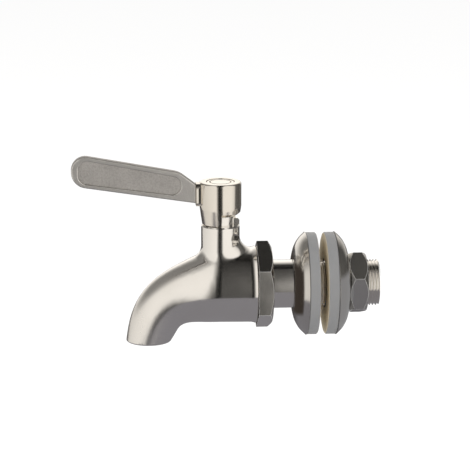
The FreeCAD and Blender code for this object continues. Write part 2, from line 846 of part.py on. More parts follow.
def make_handle_screw():
    """The pan-head screw with a hexagon socket that holds the cap on the stem."""
    body = make_body("handle_screw", at_stem=True)
    seat = WEB_HIGH + " + <spring_washer_thick>"
    tip = seat + " - <screw_length>"
    turn_profile(
        body,
        "screw",
        [
            ("0", tip),
            ("<screw_rad>", tip),
            ("<screw_rad>", seat),
            ("<screw_head_rad>", seat),
            ("<screw_head_rad>", seat + " + <screw_head_height> - 0.5"),
            ("<screw_head_rad> - 0.5", seat + " + <screw_head_height>"),
            ("0", seat + " + <screw_head_height>"),
        ],
    )
    sketch = make_sketch(body, "socket_sketch", "XY_Plane", lift=seat + " + <screw_head_height> / 3")
    draw_outline(sketch, hexagon("<screw_socket_flats>"))
    extrude(body, "socket", sketch, "<screw_head_height>", kind="Pocket", back=True)


def make_spring_washer():
    """The split washer under the screw's head, cut through at a slant."""
    body = make_body("spring_washer", at_stem=True)
    low = WEB_HIGH
    high = WEB_HIGH + " + <spring_washer_thick>"
    turn_profile(body, "ring", box_corners("<screw_rad> + <ball_play>", "<spring_washer_rad>", low, high))
    slit = make_sketch(body, "slit_sketch", "XZ_Plane")
    middle = "(%s + <spring_washer_thick> / 2)" % WEB_HIGH
    lean = 0.5
    draw_outline(
        slit,
        [
            ("-%g - 0.12" % lean, middle + " - 0.8"),
            ("-%g + 0.12" % lean, middle + " - 0.8"),
            ("%g + 0.12" % lean, middle + " + 0.8"),
            ("%g - 0.12" % lean, middle + " + 0.8"),
        ],
    )
    extrude(body, "slit", slit, "<spring_washer_rad> + 1", kind="Pocket")


# Paddle lever

def across_plate(edge):
    """Whether an edge runs straight through the plate, from face to face."""
    box = edge.BoundBox
    return box.XMax - box.XMin < 0.01 and box.ZMax - box.ZMin < 0.01


def near_spot(edge, x_text, z_text):
    """Whether an edge's middle lies at a spot of the lever's own plane."""
    middle = edge.BoundBox.Center
    return abs(middle.x - number(x_text)) < 0.1 and abs(middle.z - number(z_text)) < 0.1


def round_plate_corner(body, name, x_text, z_text, size):
    """Round one corner of the paddle's outline."""
    round_edges(
        body, name, lambda edge: across_plate(edge) and near_spot(edge, x_text, z_text), size
    )


def lies_on_face(edge, half_thick):
    """Whether an edge lies in one of the plate's two broad faces."""
    return all(abs(abs(spot.y) - half_thick) < 0.005 for spot in edge.discretize(5))


def lever_line(x_text, lower, rim):
    """Height of the paddle's lower or upper line at a place along it, drawn in by a rim."""
    if lower:
        ends = ("<pad_reach>", "<lever_root_low>", "<lever_tip>", "<lever_tip_low>", rim)
    else:
        ends = ("<lever_shoulder>", "<lever_shoulder_high>", "<lever_tip>", "<lever_tip_high>", "-(%s)" % rim)
    near, near_height, far, far_height, draw_in = ends
    slope = "(%s - %s) / (%s - %s)" % (far_height, near_height, far, near)
    return "%s + (%s - %s) * %s + %s" % (near_height, x_text, near, slope, draw_in)


def cut_panels(body):
    """The sunk panel on each broad face of the paddle."""
    tip = "(<lever_tip> - <panel_tip>)"
    root = "<panel_root>"
    corners = [
        ("-" + tip, lever_line(tip, True, "<panel_rim_tip>")),
        ("-" + root, lever_line(root, True, "<panel_rim_root>")),
        ("-" + root, lever_line(root, False, "<panel_rim_root>")),
        ("-" + tip, lever_line(tip, False, "<panel_rim_tip>")),
    ]
    for name, side, back in (("front_panel", "", True), ("back_panel", "-", False)):
        floor = side + "(<lever_thick> / 2 - <panel_depth>)"
        sketch = make_sketch(body, name + "_sketch", "XZ_Plane", lift=floor)
        draw_rounded_outline(sketch, corners, "<panel_corner>")
        extrude(body, name, sketch, "<panel_depth> + 1", kind="Pocket", back=back)
    half = number("<lever_thick>") / 2
    drawn_in = 0.8 * number("<panel_rim_tip>")

    def is_panel_rim(edge):
        if not lies_on_face(edge, half):
            return False
        for spot in edge.discretize(3):
            low = number(lever_line(str(-spot.x), True, "0"))
            high = number(lever_line(str(-spot.x), False, "0"))
            if not low + drawn_in < spot.z < high - drawn_in or -spot.x > number(tip) + 0.01:
                return False
        return -edge.BoundBox.XMax > number(root) - 0.01

    round_edges(body, "panel_rims", is_panel_rim, "<panel_edge>")


def make_lever():
    """The cast paddle: a plate with a rounded tip, a sunk panel each side and a tenon."""
    body = make_body("lever", at_stem=True)
    sketch = make_sketch(body, "plate_sketch", "XZ_Plane")
    outline = [
        ("-<lever_tip>", "<lever_tip_low>"),
        ("-<pad_reach>", "<lever_root_low>"),
        ("-<pad_reach>", "<lever_root_high>"),
        ("-<lever_shoulder>", "<lever_shoulder_high>"),
        ("-<lever_tip>", "<lever_tip_high>"),
    ]
    draw_outline(sketch, outline)
    extrude(body, "plate", sketch, "<lever_thick>", both=True)
    round_plate_corner(body, "tip_low", "-<lever_tip>", "<lever_tip_low>", "<lever_tip_corner_low>")
    round_plate_corner(body, "tip_high", "-<lever_tip>", "<lever_tip_high>", "<lever_tip_corner_high>")
    shoulder = ("-<lever_shoulder>", "<lever_shoulder_high>")
    round_plate_corner(body, "shoulder", *shoulder, "<lever_shoulder_round>")
    half = number("<lever_thick>") / 2
    round_edges(body, "plate_edges", lambda edge: lies_on_face(edge, half), "<lever_edge>")
    cut_panels(body)
    tenon = make_sketch(body, "tenon_sketch", "YZ_Plane", lift="-<pad_reach>")
    draw_circle(tenon, "<tenon_rad>", ("0", TENON_HEIGHT))
    extrude(body, "tenon", tenon, "<tenon_length>")


# Washers and nut on the shank

def wall_side(side, distance):
    """A place along the shank, measured from the wall's outer or inner face."""
    if side < 0:
        return "-(%s)" % distance
    return "<wall_gap> + (%s)" % distance


# Creases of the dish, as shares of the way in from its rim and of its depth
DISH_CREASES = [(0.27, 0.49), (0.615, 0.83)]


def dish_corner(side, rim, inward, share, inset="0"):
    """A corner of the dish's section, set in from the outside by a share of the sheet."""
    along = "%s + <cup_depth> * %g - (%s) * 0.87" % (rim, share, inset)
    out = "<cup_rad> - (<cup_rad> - <cup_flat_rad>) * %g - (%s) * 0.5" % (inward, inset)
    return (wall_side(side, along), out)


def make_cup_washer(label, side):
    """A dished steel washer; its lip presses on the soft washer."""
    body = make_body(label)
    lip = "<soft_proud>"
    rim = "<soft_proud> + <cup_lip>"
    flat = "<soft_proud> + <cup_lip> + <cup_depth>"
    creases = [dish_corner(side, rim, inward, share) for inward, share in DISH_CREASES]
    inner = [dish_corner(side, rim, inward, share, "<cup_thick>") for inward, share in DISH_CREASES]
    flat_corner = (wall_side(side, flat), "<cup_flat_rad>")
    corners = [(wall_side(side, lip), "<cup_rad>"), (wall_side(side, rim), "<cup_rad>")]
    corners += creases + [
        flat_corner,
        (wall_side(side, flat), "<cup_hole_rad>"),
        (wall_side(side, flat + " - <cup_thick>"), "<cup_hole_rad>"),
        (wall_side(side, flat + " - <cup_thick>"), "<cup_flat_rad> - <cup_thick> / 4"),
    ]
    corners += inner[::-1] + [(wall_side(side, lip), "<cup_rad> - <cup_thick>")]
    turn_profile(body, "dish", corners, axis="H_Axis")
    for name, corner in zip(("rim_dome", "middle_dome"), creases):
        round_edges(body, name, lambda edge: is_cross_ring(edge, corner), "<cup_dome_round>")
    round_edges(body, "flat_rim", lambda edge: is_cross_ring(edge, flat_corner), "<cup_flat_round>")


def make_soft_washer(label, side):
    """A silicone washer: a face on the wall and a shoulder inside the cup's lip."""
    body = make_body(label)
    outer = "<cup_rad> - <soft_step>"
    shoulder = "<cup_rad> - <cup_thick> - 2 * <soft_inset>"
    corners = [
        (wall_side(side, "0"), "<soft_hole_rad>"),
        (wall_side(side, "0"), outer + " - <soft_edge>"),
        (wall_side(side, "<soft_edge>"), outer),
        (wall_side(side, "<soft_proud> - <soft_edge>"), outer),
        (wall_side(side, "<soft_proud>"), outer + " - <soft_edge>"),
        (wall_side(side, "<soft_proud>"), shoulder),
        (wall_side(side, "<soft_proud> + <soft_inset>"), shoulder),
        (wall_side(side, "<soft_proud> + <soft_inset>"), "<soft_hole_rad>"),
    ]
    turn_profile(body, "washer", corners, axis="H_Axis")


def make_lock_nut():
    """The hexagon nut, bevelled on both faces."""
    body = make_body("lock_nut")
    near = wall_side(1, "<soft_proud> + <cup_lip> + <cup_depth> + <slip>")
    far = near + " + <nut_thick>"
    sketch = make_sketch(body, "nut_sketch", "YZ_Plane", lift=near)
    draw_outline(sketch, hexagon("<nut_flats>", "<nut_turn>"))
    extrude(body, "hexagon_bar", sketch, "<nut_thick>")
    flat = "<nut_flats> / 2 - 0.1"
    high = flat + " + <nut_bevel>"
    turn_profile(
        body,
        "outer_bevel",
        [(far + " - <nut_bevel>", high), (far, flat), (far + " + 1", flat), (far + " + 1", high)],
        axis="H_Axis",
        kind="Groove",
    )
    turn_profile(
        body,
        "inner_bevel",
        [(near + " - 1", high), (near + " - 1", flat), (near, flat), (near + " + <nut_bevel>", high)],
        axis="H_Axis",
        kind="Groove",
    )
    bore = "<thread_rad> + <slip>"
    wide = "<thread_rad> + <slip> + <nut_bore_edge>"
    turn_profile(
        body,
        "thread_bore",
        [
            (near + " - 1", "0"),
            (far + " + 1", "0"),
            (far + " + 1", wide),
            (far, wide),
            (far + " - <nut_bore_edge>", bore),
            (near + " + <nut_bore_edge>", bore),
            (near, wide),
            (near + " - 1", wide),
        ],
        axis="H_Axis",
        kind="Groove",
    )


# Files

def write_parts():
    """Check every object, then write each sub-part to a file of its own."""
    doc.recompute()
    for item in doc.Objects:
        if "Invalid" in item.State or "Error" in item.State:
            raise RuntimeError("%s failed: %s" % (item.Name, item.State))
    os.makedirs("parts", exist_ok=True)
    for item in doc.Objects:
        if item.TypeId != "PartDesign::Body":
            continue
        if item.Shape.isNull() or not item.Shape.isValid():
            raise RuntimeError("%s has no valid shape" % item.Label)
        item.Shape.exportStep(os.path.join("parts", item.Label + ".step"))
        print(item.Label, len(item.Shape.Solids), round(item.Shape.Volume, 2))


make_valve_body()
make_tail_shank()
make_body_seal()
make_ball()
make_seat("front_seat", -1)
make_seat("rear_seat", 1)
make_stem()
make_stem_ring("lower_stem_ring", LOW_RING)
make_stem_ring("upper_stem_ring", HIGH_RING)
make_lock_screw()
make_glide_washer()
make_handle_hub()
make_hub_button()
make_handle_screw()
make_spring_washer()
make_lever()
for side, place in ((-1, "front"), (1, "rear")):
    make_cup_washer(place + "_cup_washer", side)
    make_soft_washer(place + "_silicone_washer", side)
make_lock_nut()
write_parts()
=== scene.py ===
"""Studio scene of a beverage dispenser spigot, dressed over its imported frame."""

import logging
import math
from collections.abc import Callable
from dataclasses import dataclass, field
from enum import Enum

import bmesh
import bpy
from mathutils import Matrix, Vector

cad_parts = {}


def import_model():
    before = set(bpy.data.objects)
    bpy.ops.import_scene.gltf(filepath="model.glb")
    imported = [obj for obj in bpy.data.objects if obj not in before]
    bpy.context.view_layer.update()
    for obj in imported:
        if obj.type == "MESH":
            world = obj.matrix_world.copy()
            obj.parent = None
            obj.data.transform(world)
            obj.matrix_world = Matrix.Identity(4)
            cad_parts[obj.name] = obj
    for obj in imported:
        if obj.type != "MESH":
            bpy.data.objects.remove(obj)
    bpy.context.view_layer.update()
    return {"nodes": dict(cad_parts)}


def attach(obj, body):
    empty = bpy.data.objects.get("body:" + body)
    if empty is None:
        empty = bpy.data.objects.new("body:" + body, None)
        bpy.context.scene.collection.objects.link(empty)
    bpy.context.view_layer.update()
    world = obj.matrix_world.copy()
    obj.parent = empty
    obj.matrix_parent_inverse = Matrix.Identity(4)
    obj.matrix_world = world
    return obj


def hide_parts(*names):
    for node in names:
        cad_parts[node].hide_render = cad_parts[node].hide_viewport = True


LOG = logging.getLogger("spigot")
MM = 0.001
WHITE = (1.0, 1.0, 1.0)
Colour = tuple[float, float, float]
Socket = bpy.types.NodeSocket
Nodes = dict[str, bpy.types.Object]


class Body(Enum):
    """The bodies of the frame that new pieces ride on."""

    VALVE = "valve"
    HANDLE = "handle"
    NUT = "nut"


class Slot(Enum):
    """The finishes that the record names."""

    POLISHED = "polished_steel"
    CAST = "cast_steel"
    PRESSED = "pressed_steel"
    TURNED = "turned_steel"
    SILICONE = "silicone"
    SEAT = "seat_plastic"
    RING = "ring_rubber"


class Pick(Enum):
    """What a selection in edit mode is made of."""

    EDGE = "EDGE"
    FACE = "FACE"


class Cut(Enum):
    """What stays when one solid cuts another."""

    AWAY = "DIFFERENCE"
    SHARED = "INTERSECT"


def millimetres(*values: float) -> Vector:
    """A point or a size given in millimetres, in metres."""
    return Vector(values) * MM


def opaque(colour: Colour) -> tuple[float, float, float, float]:
    """A plain colour with full cover."""
    return (*colour, 1.0)


def surface(material: bpy.types.Material) -> Socket:
    """The input that a material's shader goes into."""
    return material.node_tree.nodes["Material Output"].inputs["Surface"]


# Node trees


class Tree:
    """A short way to add and join nodes in one node tree."""

    def __init__(self, tree: bpy.types.NodeTree) -> None:
        """Take the tree that the nodes go into."""
        self.tree = tree

    def feed(self, target: Socket, value: object) -> None:
        """Give an input what it takes.

        Args:
            target: The input.
            value: The output to link to it, or a plain value.
        """
        if isinstance(value, Socket):
            self.tree.links.new(value, target)
        else:
            target.default_value = value

    def add(
        self, kind: str, feeds: dict[str | int, object] | None = None, **settings: object
    ) -> bpy.types.Node:
        """Add one node.

        Args:
            kind: The node's type name.
            feeds: What goes into its inputs, by their names or numbers.
            **settings: Properties of the node to set.

        Returns:
            The new node.
        """
        node = self.tree.nodes.new(kind)
        for name, value in settings.items():
            setattr(node, name, value)
        for key, value in (feeds or {}).items():
            self.feed(node.inputs[key], value)
        return node

    def place(self) -> Socket:
        """The Object coordinates."""
        return self.add("ShaderNodeTexCoord").outputs["Object"]

    def split(self, vector: Socket) -> bpy.types.bpy_prop_collection:
        """The three parts of a vector, by the names X, Y and Z."""
        return self.add("ShaderNodeSeparateXYZ", {0: vector}).outputs

    def maths(self, operation: str, *values: object) -> Socket:
        """The result of a Math node whose inputs are sockets or plain numbers."""
        return self.add("ShaderNodeMath", dict(enumerate(values)), operation=operation).outputs[0]

    def off_axis(self, parts: bpy.types.bpy_prop_collection) -> Socket:
        """How far a place is from the shank's axis.

        Args:
            parts: The place's three parts.

        Returns:
            The distance's socket.
        """
        across = self.maths("MULTIPLY", parts["Y"], parts["Y"])
        upward = self.maths("MULTIPLY", parts["Z"], parts["Z"])
        return self.maths("SQRT", self.maths("ADD", across, upward))

    def remap(
        self, value: Socket, start: float, end: float, top: float = 1.0, smooth: bool = True
    ) -> Socket:
        """Turn a range of values into the range from 0 to a top value.

        Args:
            value: What is turned.
            start: The value that gives 0.
            end: The value that gives the top.
            top: The top.
            smooth: Whether the change eases in and out.

        Returns:
            The new value's socket.
        """
        feeds = {"Value": value, "From Min": start, "From Max": end, "To Max": top}
        way = "SMOOTHSTEP" if smooth else "LINEAR"
        return self.add("ShaderNodeMapRange", feeds, interpolation_type=way).outputs["Result"]

    def noise(self, place: Socket, scale: object, detail: float = 2.0, roughness: float = 0.5) -> Socket:
        """Add a noise.

        Args:
            place: Where it is read.
            scale: Its scale, a socket or a number.
            detail: How many finer layers it has.
            roughness: How strong they are.

        Returns:
            The noise's value, from 0 to 1.
        """
        feeds = {"Vector": place, "Scale": scale, "Detail": detail, "Roughness": roughness}
        return self.add("ShaderNodeTexNoise", feeds).outputs["Fac"]

    def blend(self, share: object, first: object, second: object, way: str = "MIX") -> Socket:
        """Mix two colours, each a socket or a plain colour.

        Args:
            share: How much of the second colour, from 0 to 1.
            first: The colour at 0.
            second: The colour at 1.
            way: MIX, or MULTIPLY for the second colour over the first.

        Returns:
            The mixed colour.
        """
        first, second = (
            colour if isinstance(colour, Socket) else opaque(colour) for colour in (first, second)
        )
        feeds = {0: share, 6: first, 7: second}
        return self.add("ShaderNodeMix", feeds, data_type="RGBA", blend_type=way).outputs[2]

    def bump(self, shader: bpy.types.Node, height: Socket, strength: float, depth: float) -> None:
        """Give a shader a fine relief.

        Args:
            shader: The shader.
            height: The relief, from 0 to 1.
            strength: How much of it shows.
            depth: How deep it is.
        """
        feeds = {"Strength": strength, "Distance": depth, "Height": height}
        self.feed(shader.inputs["Normal"], self.add("ShaderNodeBump", feeds).outputs["Normal"])


def make_group(name: str, inputs: dict[str, float], outputs: tuple[str, ...]) -> Tree:
    """An empty shader node group with named sockets.

    Args:
        name: The group's name.
        inputs: The number inputs with their plain values, besides a vector named Place.
        outputs: The number outputs.

    Returns:
        A Tree on the group.
    """
    group = bpy.data.node_groups.new(name, "ShaderNodeTree")
    group.interface.new_socket("Place", in_out="INPUT", socket_type="NodeSocketVector")
    for label, value in inputs.items():
        socket = group.interface.new_socket(label, in_out="INPUT", socket_type="NodeSocketFloat")
        socket.default_value = value
    for label in outputs:
        group.interface.new_socket(label, in_out="OUTPUT", socket_type="NodeSocketFloat")
    return Tree(group)


@dataclass
class Effects:
    """The node groups that the metal finishes share, each built once. Scales are in a metre."""

    swell_scale: float = 160.0
    smudge_range: tuple[float, float] = (0.35, 0.7)
    pit_share: float = 0.6
    tone_scale: float = 140.0
    turn_scale: float = 0.8
    wear: bpy.types.NodeTree = field(init=False)
    blast: bpy.types.NodeTree = field(init=False)
    lay: bpy.types.NodeTree = field(init=False)

    def __post_init__(self) -> None:
        """Build the groups."""
        self.wear = self.make_wear()
        self.blast = self.make_blast()
        self.lay = self.make_lay()

    def make_wear(self) -> bpy.types.NodeTree:
        """Faint smudges and polishing marks on polished metal.

        Returns:
            A group that puts out a mask of smudges, a mask of marks and a height.
        """
        scales = {"Smudge Scale": 90.0, "Mark Scale": 900.0}
        tree = make_group("handling_marks", scales, ("Smudge", "Mark", "Height"))
        start = tree.add("NodeGroupInput").outputs
        smudge = tree.noise(start["Place"], start["Smudge Scale"], detail=4.0)
        feeds = {
            "Smudge": tree.remap(smudge, *self.smudge_range, smooth=False),
            "Mark": tree.noise(start["Place"], start["Mark Scale"], detail=6.0, roughness=0.7),
            "Height": tree.noise(start["Place"], self.swell_scale),
        }
        tree.add("NodeGroupOutput", feeds)
        return tree.tree

    def make_blast(self) -> bpy.types.NodeTree:
        """The fine pitted grain of a blasted casting.

        Returns:
            A group that puts out a height, a mask of pits and a mask of slow tone.
        """
        tree = make_group("blasted_grain", {"Grain Scale": 3600.0}, ("Height", "Pits", "Tone"))
        start = tree.add("NodeGroupInput").outputs
        grain = tree.noise(start["Place"], start["Grain Scale"], detail=5.0, roughness=0.65)
        pit_scale = tree.maths("MULTIPLY", start["Grain Scale"], self.pit_share)
        spots = {"Vector": start["Place"], "Scale": pit_scale}
        pits = tree.add("ShaderNodeTexVoronoi", spots, feature="SMOOTH_F1").outputs["Distance"]
        feeds = {
            "Height": tree.maths("ADD", grain, pits),
            "Pits": pits,
            "Tone": tree.noise(start["Place"], self.tone_scale, detail=3.0),
        }
        tree.add("NodeGroupOutput", feeds)
        return tree.tree

    def make_lay(self) -> bpy.types.NodeTree:
        """The circular lay that a lathe or a polishing wheel leaves round the shank's axis.

        Returns:
            A group that puts out a height and a mask.
        """
        tree = make_group("turned_lay", {"Ring Scale": 5200.0}, ("Height", "Mask"))
        start = tree.add("NodeGroupInput").outputs
        parts = tree.split(start["Place"])
        turn = tree.maths("ARCTAN2", parts["Y"], parts["Z"])
        spot = {
            "X": tree.maths("MULTIPLY", tree.off_axis(parts), start["Ring Scale"]),
            "Y": tree.maths("MULTIPLY", parts["X"], start["Ring Scale"]),
            "Z": tree.maths("MULTIPLY", turn, self.turn_scale),
        }
        rings = tree.noise(tree.add("ShaderNodeCombineXYZ", spot).outputs[0], 1.0, detail=3.0)
        tree.add("NodeGroupOutput", {"Height": rings, "Mask": rings})
        return tree.tree


# Finishes


@dataclass(frozen=True)
class Finish:
    """What every finish has: its name, its slot, its two tones and how matt it is."""

    name: str
    slot: Slot
    light: Colour
    dark: Colour
    roughness: float

    def make(self, effects: Effects) -> bpy.types.Material:
        """Build the material.

        Args:
            effects: The node groups to use.

        Returns:
            The material.
        """
        material = bpy.data.materials.new(self.name)
        material.use_nodes = True
        material.diffuse_color = opaque(self.light)
        tree = Tree(material.node_tree)
        shader = material.node_tree.nodes["Principled BSDF"]
        shader.inputs["Roughness"].default_value = self.roughness
        self.paint(tree, shader, tree.place(), effects)
        return material

    def paint(self, tree: Tree, shader: bpy.types.Node, place: Socket, effects: Effects) -> None:
        """Add the finish's own nodes, in a way that each kind of finish has.

        Args:
            tree: Where the nodes go.
            shader: The Principled BSDF.
            place: The Object coordinates.
            effects: The node groups to use.
        """
        raise NotImplementedError


@dataclass(frozen=True)
class PolishedSteel(Finish):
    """Mirror-polished stainless steel with faint smudges, more satin toward the outlet."""

    smudge_scale: float = 90.0
    mark_scale: float = 900.0
    smudge_tone: float = 0.35
    smudge_rough: float = 0.05
    mark_rough: float = 0.03
    ripple: float = 0.012
    satin: float = 0.0
    satin_from: tuple[float, float] = (-0.038, -0.052)

    def paint(self, tree: Tree, shader: bpy.types.Node, place: Socket, effects: Effects) -> None:
        """Add smudged tones, a roughness that follows the smudges and a slow ripple.

        Args:
            tree: Where the nodes go.
            shader: The Principled BSDF.
            place: The Object coordinates.
            effects: The node groups to use.
        """
        shader.inputs["Metallic"].default_value = 1.0
        feeds = {"Place": place, "Smudge Scale": self.smudge_scale, "Mark Scale": self.mark_scale}
        marks = tree.add("ShaderNodeGroup", feeds, node_tree=effects.wear).outputs
        share = tree.maths("MULTIPLY", marks["Smudge"], self.smudge_tone)
        tree.feed(shader.inputs["Base Color"], tree.blend(share, self.light, self.dark))
        rough = tree.maths("MULTIPLY_ADD", marks["Smudge"], self.smudge_rough, self.roughness)
        rough = tree.maths("MULTIPLY_ADD", marks["Mark"], self.mark_rough, rough)
        satin = tree.remap(tree.split(place)["X"], *self.satin_from, self.satin)
        tree.feed(shader.inputs["Roughness"], tree.maths("ADD", rough, satin))
        tree.bump(shader, marks["Height"], self.ripple, MM)


@dataclass(frozen=True)
class CastSteel(Finish):
    """A blasted casting, satin grey with a fine grain, a brighter raised rim and painted shade on the walls
    round its sunk panel.
    """

    grain: float = 0.3
    grain_scale: float = 3600.0
    grain_depth: float = 0.1 * MM
    tone_range: tuple[float, float] = (0.3, 0.7)
    speck_range: tuple[float, float] = (0.25, 0.8)
    speck: float = 0.3
    pit_rough: float = 0.12
    rim_rough: float = -0.06
    rim: Colour = (0.80, 0.785, 0.765)
    # the dark tone of the grain's specks, also used as painted shade on the walls round the sunk panel
    speck_and_wall_shade: Colour = (0.30, 0.285, 0.27)
    panel_level: float = 0.95 * MM
    panel_skin: float = 0.012 * MM
    rim_range: tuple[float, float] = (1.28 * MM, 1.49 * MM)

    def paint(self, tree: Tree, shader: bpy.types.Node, place: Socket, effects: Effects) -> None:
        """Add the speckled panel, the rim and the painted shade on the walls between, each by its height.

        Args:
            tree: Where the nodes go.
            shader: The Principled BSDF.
            place: The Object coordinates.
            effects: The node groups to use.
        """
        shader.inputs["Metallic"].default_value = 1.0
        feeds = {"Place": place, "Grain Scale": self.grain_scale}
        blast = tree.add("ShaderNodeGroup", feeds, node_tree=effects.blast).outputs
        tone = tree.remap(blast["Tone"], *self.tone_range, smooth=False)
        speck = tree.remap(blast["Pits"], *self.speck_range, self.speck, smooth=False)
        panel = tree.blend(speck, tree.blend(tone, self.light, self.dark), self.speck_and_wall_shade)
        height = tree.maths("ABSOLUTE", tree.split(place)["Y"])
        raised = tree.remap(height, *self.rim_range)
        # Painted shade: below the rim, the walls round the sunk panel take the dark tone, standing in for
        # the shade in that crease.
        edges = tree.blend(raised, self.speck_and_wall_shade, self.rim)
        sunk = tree.maths("COMPARE", height, self.panel_level, self.panel_skin)
        tree.feed(shader.inputs["Base Color"], tree.blend(sunk, edges, panel))
        rough = tree.maths("MULTIPLY_ADD", blast["Pits"], self.pit_rough, self.roughness)
        rough = tree.maths("MULTIPLY_ADD", raised, self.rim_rough, rough)
        tree.feed(shader.inputs["Roughness"], rough)
        tree.bump(shader, blast["Height"], self.grain, self.grain_depth)


@dataclass(frozen=True)
class TurnedSteel(Finish):
    """Steel with the fine circular lay of a lathe or a brush."""

    lay: float = 0.12
    lay_rough: float = 0.12
    lay_depth: float = 0.05 * MM
    ring_scale: float = 5200.0
    metal: float = 1.0

    def paint(self, tree: Tree, shader: bpy.types.Node, place: Socket, effects: Effects) -> None:
        """Add rings of tone, roughness and relief.

        Args:
            tree: Where the nodes go.
            shader: The Principled BSDF.
            place: The Object coordinates.
            effects: The node groups to use.
        """
        shader.inputs["Metallic"].default_value = self.metal
        feeds = {"Place": place, "Ring Scale": self.ring_scale}
        rings = tree.add("ShaderNodeGroup", feeds, node_tree=effects.lay).outputs
        tree.feed(shader.inputs["Base Color"], tree.blend(rings["Mask"], self.light, self.dark))
        rough = tree.maths("MULTIPLY_ADD", rings["Mask"], self.lay_rough, self.roughness)
        tree.feed(shader.inputs["Roughness"], rough)
        tree.bump(shader, rings["Height"], self.lay, self.lay_depth)


@dataclass(frozen=True)
class SoftPlastic(Finish):
    """Silicone, seat plastic or rubber, with a soft uneven tone."""

    glow: float = 0.0
    glow_reach: Colour = (1.0, 0.9, 0.7)
    glow_depth: float = 1.5 * MM
    cloud_scale: float = 120.0
    skin_scale: float = 1800.0
    skin_rough: float = 0.15
    skin_bump: float = 0.05
    skin_depth: float = 0.1 * MM

    def paint(self, tree: Tree, shader: bpy.types.Node, place: Socket, effects: Effects) -> None:
        """Add cloudy tones and a fine skin.

        Args:
            tree: Where the nodes go.
            shader: The Principled BSDF.
            place: The Object coordinates.
            effects: The node groups, which soft finishes don't use.
        """
        shader.inputs["Subsurface Weight"].default_value = self.glow
        shader.inputs["Subsurface Radius"].default_value = self.glow_reach
        shader.inputs["Subsurface Scale"].default_value = self.glow_depth
        cloud = tree.noise(place, self.cloud_scale, detail=4.0)
        tree.feed(shader.inputs["Base Color"], tree.blend(cloud, self.light, self.dark))
        skin = tree.noise(place, self.skin_scale)
        rough = tree.maths("MULTIPLY_ADD", skin, self.skin_rough, self.roughness)
        tree.feed(shader.inputs["Roughness"], rough)
        tree.bump(shader, skin, self.skin_bump, self.skin_depth)


@dataclass(frozen=True)
class ClearSilicone(SoftPlastic):
    """Silicone with painted amber light on the two wall faces that face each other across the narrow, shaded
    gap between the washers.
    """

    # painted light: the amber that the two wall faces take in the shaded gap
    painted_gap_light: Colour = (0.60, 0.53, 0.40)
    wall: tuple[float, float] = (0.0, 2.7 * MM)
    wall_skin: float = 0.03 * MM

    def paint(self, tree: Tree, shader: bpy.types.Node, place: Socket, effects: Effects) -> None:
        """Add the soft tones, with painted amber light on the two wall faces.

        Args:
            tree: Where the nodes go.
            shader: The Principled BSDF.
            place: The Object coordinates.
            effects: The node groups, which soft finishes don't use.
        """
        super().paint(tree, shader, place, effects)
        along = tree.split(place)["X"]
        near, far = (tree.maths("COMPARE", along, face, self.wall_skin) for face in self.wall)
        plain = shader.inputs["Base Color"].links[0].from_socket
        # Painted light: the wall faces get a lighter amber colour, standing in for light that comes through
        # the silicone into the shaded gap.
        tone = tree.blend(tree.maths("MAXIMUM", near, far), plain, self.painted_gap_light)
        tree.feed(shader.inputs["Base Color"], tone)


FINISHES = (
    PolishedSteel("mirror_steel", Slot.POLISHED, (0.88, 0.86, 0.83), (0.80, 0.77, 0.73), 0.10, satin=0.12),
    PolishedSteel("warm_steel", Slot.POLISHED, (0.80, 0.76, 0.70), (0.72, 0.68, 0.61), 0.10),
    PolishedSteel("bright_steel", Slot.POLISHED, (0.74, 0.72, 0.69), (0.62, 0.60, 0.57), 0.16),
    CastSteel("blasted_steel", Slot.CAST, (0.84, 0.82, 0.795), (0.72, 0.70, 0.68), 0.38),
    TurnedSteel("polished_sheet", Slot.PRESSED, (0.74, 0.72, 0.69), (0.62, 0.60, 0.57), 0.10),
    TurnedSteel("turned_bar", Slot.TURNED, (0.62, 0.61, 0.59), (0.50, 0.49, 0.47), 0.12),
    # painted highlight: a pale, rough, half-metal finish that makes the broken edges read bright in any
    # surroundings
    TurnedSteel("painted_edge_highlight", Slot.TURNED, (0.80, 0.79, 0.77), (0.72, 0.71, 0.69), 0.5, metal=0.4),
    ClearSilicone("clear_silicone", Slot.SILICONE, (0.255,) * 3, (0.21, 0.21, 0.215), 0.42, glow=0.3),
    SoftPlastic("white_seat", Slot.SEAT, (0.83, 0.83, 0.80), (0.76, 0.76, 0.73), 0.4),
    SoftPlastic("black_ring", Slot.RING, (0.03,) * 3, (0.018,) * 3, 0.5),
)


@dataclass
class Finishes:
    """Every finish of the spigot, made once and handed to the nodes and pieces."""

    effects: Effects = field(default_factory=Effects)
    made: dict[str, bpy.types.Material] = field(default_factory=dict)

    def make_all(self) -> None:
        """Build each finish's material."""
        for finish in FINISHES:
            self.made[finish.name] = finish.make(self.effects)
            LOG.info("finish %s for %s", finish.name, finish.slot.value)

    def dress(self, piece: bpy.types.Object, name: str) -> None:
        """Give one finish to every material slot of an object.

        Args:
            piece: The object.
            name: The finish's name.
        """
        if not piece.material_slots:
            piece.data.materials.append(self.made[name])
        for slot in piece.material_slots:
            slot.material = self.made[name]

    def dress_edges(self, piece: bpy.types.Object) -> None:
        """Give the broken edges, which use the second material slot, their pale, half-metal finish, which
        paints a highlight on them.
        """
        piece.material_slots[1].material = self.made["painted_edge_highlight"]


# Modelling by hand


